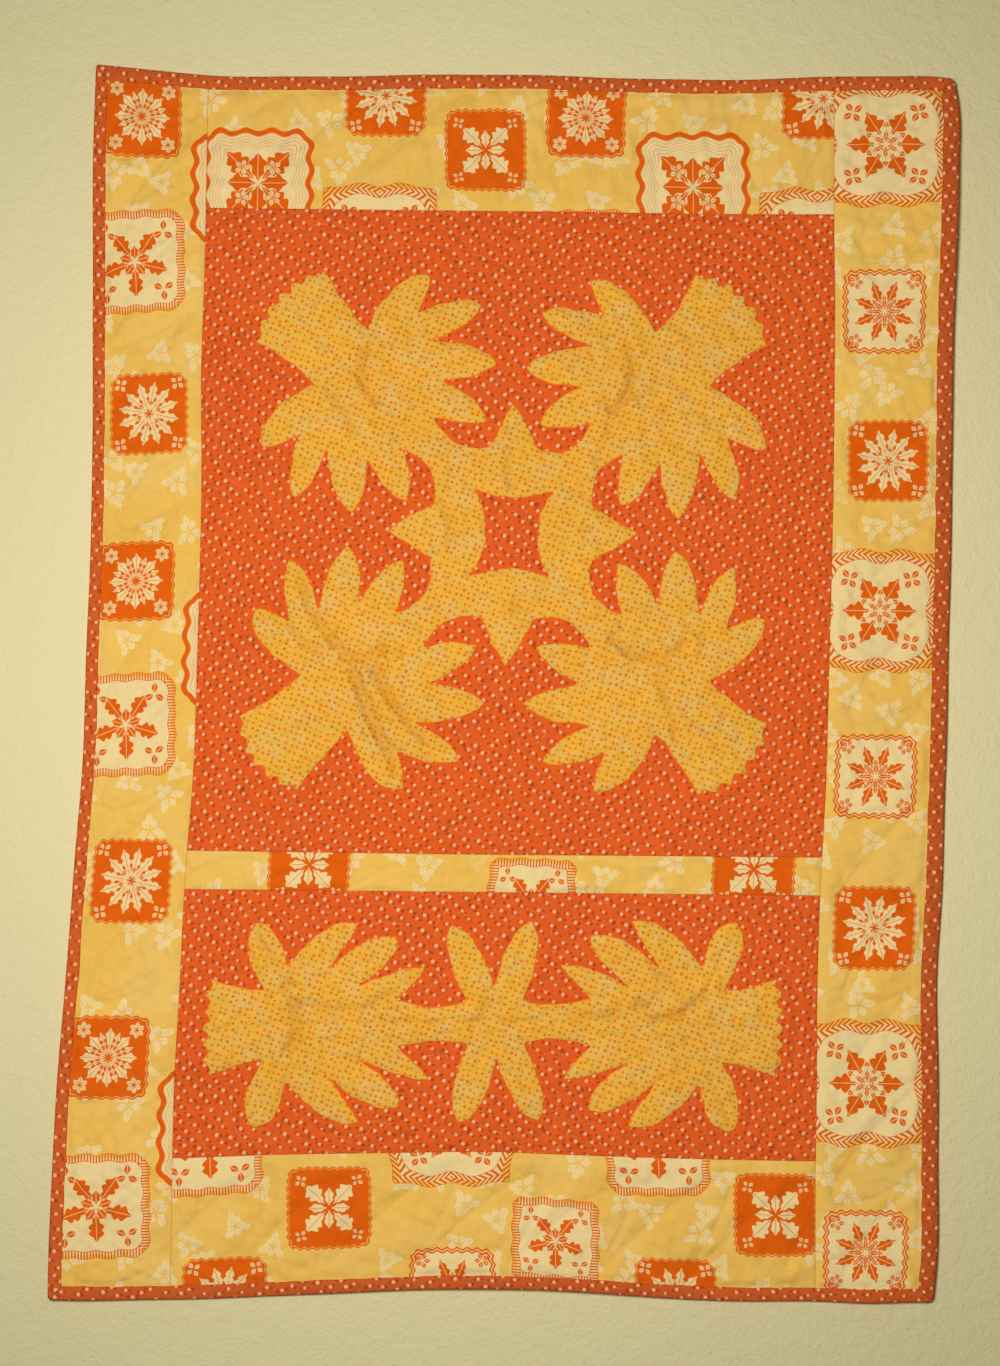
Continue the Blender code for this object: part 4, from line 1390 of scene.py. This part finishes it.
# the loop's points at even spacing along it
def evenly(loop, spacing):
    closed = np.vstack([loop, loop[:1]])
    length = np.concatenate([[0], np.cumsum(np.linalg.norm(np.diff(closed, axis=0), axis=1))])
    places = np.linspace(0, length[-1], round(length[-1] / spacing), endpoint=False)
    return np.column_stack([np.interp(places, length, closed[:, k]) for k in (0, 1)])


def signedArea(loop):
    return np.sum(loop[:, 0] * np.roll(loop[:, 1], -1) - loop[:, 1] * np.roll(loop[:, 0], -1)) / 2


# each loop the same way round and as uneven as cut by hand, with the directions from it into the cloth
def cutByHand(loops, seed):
    rims = []
    for k, loop in enumerate(loops):
        loop = evenly(loop, plantDrawing["rimSpacing"])
        loop = loop if (signedArea(loop) < 0) == (k == 0) else loop[::-1]
        ahead = np.roll(loop, -1, axis=0) - np.roll(loop, 1, axis=0)
        inward = np.column_stack([ahead[:, 1], -ahead[:, 0]]) / np.linalg.norm(ahead, axis=1)[:, None]
        fine = [uneven(*loop.T, sewing["handFine"], seed + more) for more in (5, 6)]
        broad = [uneven(*loop.T, sewing["handBroad"], seed + more) for more in (7, 8)]
        rims.append((loop + np.column_stack(fine) + np.column_stack(broad), inward))
    return rims


# the places inside the loops that are further than reach from them
def wellInside(across, drop, loops, reach):
    keep = insideOf(across, drop, loops)
    across, drop = across[keep], drop[keep]
    return np.column_stack([across, drop])[nearestTo(across, drop, loops) > reach]


# the front's places inside the loops: rows of them, each moved by half a pitch, and rings along the rims
def frontPlaces(rims, loops):
    pitch = sewing["pitch"]
    low, high = loops[0].min(axis=0), loops[0].max(axis=0)
    rows = np.arange(low[1], high[1], pitch * sewing["rowPitch"])
    across, drop = np.meshgrid(np.arange(low[0], high[0], pitch), rows)
    across = across + np.where(np.arange(len(rows)) % 2, pitch / 2, 0)[:, None]
    places = [wellInside(across.ravel(), drop.ravel(), loops, sewing["innerFrom"])]
    for reach in sewing["rings"]:
        for loop, inward in rims:
            offset = loop + inward * reach
            places.append(wellInside(*offset.T, loops, sewing["ringKeep"] * reach))
    return np.vstack(places)


def backPlaces(loops):
    low, high = loops[0].min(axis=0), loops[0].max(axis=0)
    across, drop = gridPlaces(*(np.arange(low[k], high[k], sewing["backPitch"]) for k in (0, 1)))
    return wellInside(across, drop, loops, sewing["backFrom"])


# triangles of the places, inside the loops
def trianglesIn(places, sides, loops):
    made = delaunay_2d_cdt([Vector((a, -d)) for a, d in places], sides, [], 0, 1e-9)
    faces = np.array(made[2])
    return faces[insideOf(*places[faces].mean(axis=1).T, loops)]


# a cut-out plant. Front: forward = body + cloth sqrt(1 - (1 - d/r)^2) + puff sin(pi/2 d/crown), less the
# veins, d from its rim, and never under the sunk panel; back: on the panel
def sewnPlant(node, loops, veins, seed):
    rims = cutByHand(loops, seed)
    loops = [loop for loop, _ in rims]
    rim = np.vstack(loops)
    sides, start = [], 0
    for loop in loops:
        ids = np.arange(start, start + len(loop))
        sides += np.column_stack([ids, np.roll(ids, -1)]).tolist()
        start += len(loop)

    flat = np.vstack([rim, frontPlaces(rims, loops)])
    faces = trianglesIn(flat, sides, loops)
    across, drop = flat.T
    d = nearestTo(across, drop, loops)
    d[: len(rim)] = 0
    vein = nearestTo(across, drop, veins, closed=False)
    turnedIn = sewing["cloth"] * np.sqrt(1 - (1 - np.clip(d / sewing["turnRadius"], 0, 1)) ** 2)
    crown = np.sin(np.pi / 2 * np.clip(d / sewing["leafCrown"], 0, 1))
    crown *= 1 + uneven(across, drop, sewing["leafUneven"], seed + 1)
    groove = sewing["veinShare"] * np.exp(-((vein / sewing["veinTrough"]) ** 2))
    groove = 1 - groove * softStep(*sewing["veinFrom"], d)
    base = quilt["body"] + sewing["clear"]
    folds, soft = creased(across, drop), softStep(*sewing["foldsFrom"], d)
    forward = base + turnedIn + sewing["leafPuff"] * crown * groove
    forward += soft * (folds + uneven(across, drop, sewing["pucker"], seed + 2))
    lowest = base + sewing["leastCloth"] * turnedIn
    lowest -= sewing["leastSunk"] * quilting["sunk"] * softStep(*sewing["leastFrom"], d)
    front = hangOnWall(across, drop, np.maximum(forward, lowest))

    backFlat = np.vstack([rim, backPlaces(loops)])
    backFaces = trianglesIn(backFlat, sides, loops)
    backRim = nearestTo(*backFlat.T, loops)
    backRim[: len(rim)] = 0
    sunk = quilting["sunk"] * softStep(*quilting["underPlant"], backRim)
    back = hangOnWall(*backFlat.T, quilt["body"] + sewing["backClear"] - sunk)

    count = len(front)
    sides = np.array(sides)
    walls = np.column_stack([sides[:, 1], sides[:, 0], sides[:, 0] + count, sides[:, 1] + count])
    allFaces = faces.tolist() + (backFaces[:, ::-1] + count).tolist() + walls.tolist()
    places = np.vstack([flat, backFlat]) * (1, -1)
    kinds = np.zeros(len(allFaces), int)
    obj = meshObject("sewn_" + node, np.vstack([front, back]), allFaces, [plantCloth], kinds, places)
    pointValues(obj, "fromRim", np.concatenate([d, backRim]))
    # how deep each crease is, for the painted shade in the creases
    paintedCreaseShade = np.clip(-folds / sewing["creaseShadeDepth"], 0, 1) * soft
    pointValues(obj, "fold", np.concatenate([paintedCreaseShade, np.zeros(len(back))]))
    area = abs(signedArea(loops[0])) - sum(abs(signedArea(hole)) for hole in loops[1:])
    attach(obj, "root")
    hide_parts(node)
    print(f"quilt: {node} has {len(allFaces)} faces and {area:.4f} m2 of cloth")


print("quilt: sewing the plants on")
sewnPlant("applique_medallion", squareLoops, squareVeins, 81)
sewnPlant("applique_garland", longLoops, longVeins, 91)

# the folded binding: front and back are how far forward it lies, before its lean
binding = {
    "front": 0.0037,
    "back": -0.0012,
    "cloth": 0.0008,
    "bulge": 0.0006,
    "bulgeRoundness": 0.8,
    "innerFall": 0.0005,  # how far the front's inner edge is drawn down
    "backBulge": 0.0002,
    "innerClear": (0.0003, 0.00025),  # of the hollow, beside the fold and at the front's inner edge
    "fold": 0.0016,
    "steps": 8,
    "pitch": 0.002,
    "mitreGap": 0.00005,
    "mitreReach": 0.03,
    "pucker": (0.00022, 0.006, 0.02),
    "puckerFrom": 0.002,
    "wander": (0.00025, 0.01, 0.05),
    "wanderRow": 0.1,  # the row of the noise that it reads
    "wanderFrom": 0.6,
    "turnAllowance": 0.005,
    "cutFrom": 0.3,  # where it is cut from the dotted cloth
    # how far the front falls to the fold
    "lean": {"left": 0.0, "right": 0.0005, "top": 0.0, "bottom": 0.0002},
    # painted shade on each side, darkest on the right, which turns from the lamp
    "sideShade": {"left": 0.1, "right": 0.6, "top": 0.25, "bottom": 0.3},
    "cornerRadius": {"left": 0.0022, "right": 0.0046},
}


# (inward, forward) round the folded strip. Front: forward - fall (1 - t)^2 - lean t + bulge sin(pi t)^0.8, t
# from its inner edge to the fold; then a half ellipse at the fold, the back, and the hollow for the quilt
def bindingSection(width, lean):
    front, back, fold, cloth = binding["front"], binding["back"], binding["fold"], binding["cloth"]
    t = np.linspace(0, 1, binding["steps"])
    inward = width + (fold - width) * t
    bulge = binding["bulge"] * np.sin(np.pi * t) ** binding["bulgeRoundness"]
    outer = [np.column_stack([inward, front - binding["innerFall"] * (1 - t) ** 2 - lean * t + bulge])]
    angle = np.linspace(0, math.pi, binding["steps"])[1:-1]
    centre = (front - lean + back) / 2
    outer.append(np.column_stack([fold - fold * np.sin(angle), centre + (centre - back) * np.cos(angle)]))
    outer.append(np.column_stack([inward[::-1], back - binding["backBulge"] * np.sin(np.pi * t)]))
    beside, under = binding["innerClear"]
    hollow = [(width, back + cloth), (cloth + beside, back + cloth)]
    hollow += [(cloth + beside, front - lean - cloth), (width, front - cloth - under)]
    return np.vstack([*outer, hollow])


# a rounded corner: the square of the radius's size becomes a quarter disc by p max(p)/|p|, with p from the
# disc's centre
def roundedCorners(across, drop):
    nearLeft = across - leftEdge < rightEdge - across
    radius = np.where(nearLeft, binding["cornerRadius"]["left"], binding["cornerRadius"]["right"])
    px = radius - np.where(nearLeft, across - leftEdge, rightEdge - across)
    py = radius - np.minimum(drop, quiltHeight - drop)
    corner = (px > 0) & (py > 0)
    less = np.where(corner, 1 - np.maximum(px, py) / np.maximum(np.hypot(px, py), 1e-9), 0)
    across = across + np.where(nearLeft, 1, -1) * px * less
    drop = drop + np.where(drop < quiltHeight - drop, 1, -1) * py * less
    return across, drop


# the section carried along one side, its ends cut on the slant to meet the next strips
def boundEdge(side, seed):
    upright = side in ("left", "right")
    start, end = (0, quiltHeight) if upright else (leftEdge, rightEdge)
    before, after = ("Top", "Bottom") if upright else ("Left", "Right")
    outerEdge = {"left": leftEdge, "right": rightEdge, "top": 0, "bottom": quiltHeight}[side]
    inwards = 1 if side in ("left", "top") else -1
    width = quilt["binding" + side.capitalize()]
    section = bindingSection(width, binding["lean"][side])
    inset, forward = section.T
    count = round((end - start) / binding["pitch"])
    stations = np.linspace(start, end, count + 1)[:, None]
    mitreStart = binding["mitreGap"] + inset * quilt["binding" + before] / width
    mitreEnd = binding["mitreGap"] + inset * quilt["binding" + after] / width
    nearStart = np.clip(1 - (stations - start) / binding["mitreReach"], 0, 1)
    nearEnd = np.clip(1 - (end - stations) / binding["mitreReach"], 0, 1)
    along = stations + mitreStart * nearStart - mitreEnd * nearEnd
    pucker = uneven(along, np.zeros_like(along), binding["pucker"], seed)
    pucker = pucker * (softStep(0, binding["fold"], inset) * (forward > binding["puckerFrom"]))
    wander = uneven(along, np.full_like(along, binding["wanderRow"]), binding["wander"], seed + 1)
    aside = outerEdge + inwards * (inset + wander * (inset > binding["wanderFrom"] * width))
    across, drop = roundedCorners(*((aside, along) if upright else (along, aside)))
    points = hangOnWall(across.ravel(), drop.ravel(), (forward + pucker).ravel())
    size = len(section)
    here = (np.arange(count)[:, None] * size + np.arange(size)).ravel()
    beside = (np.arange(count)[:, None] * size + (np.arange(size) + 1) % size).ravel()
    faces = np.column_stack([here, beside, beside + size, here + size])
    backwards = side in ("left", "bottom")
    faces = (faces[:, ::-1] if backwards else faces).tolist()
    for first, kept in ((0, backwards), (count * size, not backwards)):
        cap = [*range(first, first + size)]
        faces.append(cap if kept else cap[::-1])
    length = np.concatenate([[0], np.cumsum(np.linalg.norm(np.diff(section, axis=0), axis=1))])
    around = np.tile(length, count + 1) + binding["cutFrom"]
    flat = np.column_stack([around, along.ravel()] if upright else [along.ravel(), around])
    kinds = np.zeros(len(faces), int)
    obj = meshObject("folded_binding_" + side, points, faces, [bindingCloth], kinds, flat)
    # the side's painted shade, for the binding's cotton
    pointValues(obj, "sideShade", np.full(len(points), binding["sideShade"][side]))
    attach(obj, "root")
    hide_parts("binding_" + side)
    end - start


print("quilt: folding the binding")
for side, seed in (("left", 101), ("right", 111), ("top", 121), ("bottom", 131)):
    boundEdge(side, seed)

print("quilt: hanging it on the wall")
# the room, lit by one soft lamp a little to the left of the quilt's middle; powers in watts, places in metres
room = {
    "wallColour": (0.800, 0.705, 0.375, 1),
    "wallFinish": (0.8, 0.3),  # roughness and specular
    "wallPlace": 0.0012,
    "wallSpan": (3, -2.5, 1.6),  # half its width, its foot and its top
    # the painted pool of light on the wall: its middle, its falloff, and the least share that it leaves
    "wallLightCentre": (-0.06, 0.0, -0.39),
    "wallLightFalloff": 1.12,
    "wallLightLeast": 0.36,
    "wallDeeper": (5.0, 0.97, 3.0),  # clouds: scale, the share of the colour that they leave, and detail
    "relief": ((420.0, 3.0, 0.0016), (90.0, 2.0, 0.0022)),  # its grain and its lumps: scale, detail, height
    "plasterBump": 0.6,
    "floorColour": (0.80, 0.79, 0.76, 1),
    "floorRoughness": 0.7,
    "floorPlace": -1.25,
    "floorHalf": 4,
    "floorDeeper": (3.0, 0.95, 2.0),
    "ambient": 0.12,
    "ambientColour": (0.97, 1.00, 0.92, 1),
    "lamp": {"place": (-0.17, -1.40, -0.43), "aim": (0.0, 0.0, -0.45), "size": 0.28, "power": 19.6},
    "behind": {"place": (0.90, 2.80, 0.30), "aim": (0.0, 0.0, -0.45), "size": 1.2, "power": 34.0},
}


# a rectangle as a stage, which takes shadows and casts none; the wall also throws its colour back
def stagePlane(name, corners, material):
    mesh = bpy.data.meshes.new(name)
    mesh.from_pydata(corners, [], [(0, 1, 2, 3)])
    mesh.materials.append(material)
    obj = newObject(name, mesh)
    for ray in ("visible_glossy", "visible_transmission", "visible_shadow"):
        setattr(obj, ray, False)
    obj.visible_diffuse = name == "wall"


# a paint's colour, with clouds of a slightly deeper one
def paintColour(place, colour, cloudScale, share, detail):
    deeper = tuple(share * c for c in colour[:3]) + (1,)
    return blended(clouds(place, cloudScale, detail), colour, deeper)


# painted plaster with a painted pool of the lamp's light: darker away from its middle by least + (1 - least)
# exp(-falloff r^2), with soft lumps and the fine grain of a roller; seen from behind it is clear
def wallPaint():
    material, tree, shader = newMaterial("wallPaint", *room["wallFinish"])
    place = objectPlace(tree)
    away = worked("DISTANCE", place, room["wallLightCentre"])
    paintedLightPool = worked("EXPONENT", away * away * -room["wallLightFalloff"])
    paintedLightPool = paintedLightPool * (1 - room["wallLightLeast"]) + room["wallLightLeast"]
    base = shaded(paintColour(place, room["wallColour"], *room["wallDeeper"]), paintedLightPool)
    feed(shader.inputs["Base Color"], base)
    relief = [clouds(place, scale, detail) * height for scale, detail, height in room["relief"]]
    bumped(shader, relief[0] + relief[1], room["plasterBump"])
    clear = tree.nodes.new("ShaderNodeBsdfTransparent")
    mix = tree.nodes.new("ShaderNodeMixShader")
    backfacing = tree.nodes.new("ShaderNodeNewGeometry").outputs["Backfacing"]
    for socket, output in zip(mix.inputs, (backfacing, shader.outputs[0], clear.outputs[0])):
        tree.links.new(output, socket)
    tree.links.new(mix.outputs[0], tree.nodes["Material Output"].inputs["Surface"])
    return material


def floorPaint():
    material, tree, shader = newMaterial("floorPaint", room["floorRoughness"])
    place = objectPlace(tree)
    feed(shader.inputs["Base Color"], paintColour(place, room["floorColour"], *room["floorDeeper"]))
    return material


def lamp(name):
    setup = room[name]
    light = bpy.data.lights.new(name, "AREA")
    light.shape = "DISK"
    light.size = setup["size"]
    light.energy = setup["power"]
    obj = newObject(name, light)
    obj.visible_camera = False
    way = Vector(setup["aim"]) - Vector(setup["place"])
    turn = way.to_track_quat("-Z", "Y").to_matrix().to_4x4()
    obj.matrix_world = Matrix.Translation(setup["place"]) @ turn


y, (half, low, high) = room["wallPlace"], room["wallSpan"]
stagePlane("wall", [(-half, y, low), (half, y, low), (half, y, high), (-half, y, high)], wallPaint())
z, half = room["floorPlace"], room["floorHalf"]
stagePlane("floor", [(-half, -half, z), (half, -half, z), (half, half, z), (-half, half, z)], floorPaint())
for name in ("lamp", "behind"):
    lamp(name)
world = bpy.data.worlds.new("room")
world.use_nodes = True
background = world.node_tree.nodes["Background"]
background.inputs["Color"].default_value = room["ambientColour"]
background.inputs["Strength"].default_value = room["ambient"]
scene.world = world
scene.view_settings.view_transform = "Standard"
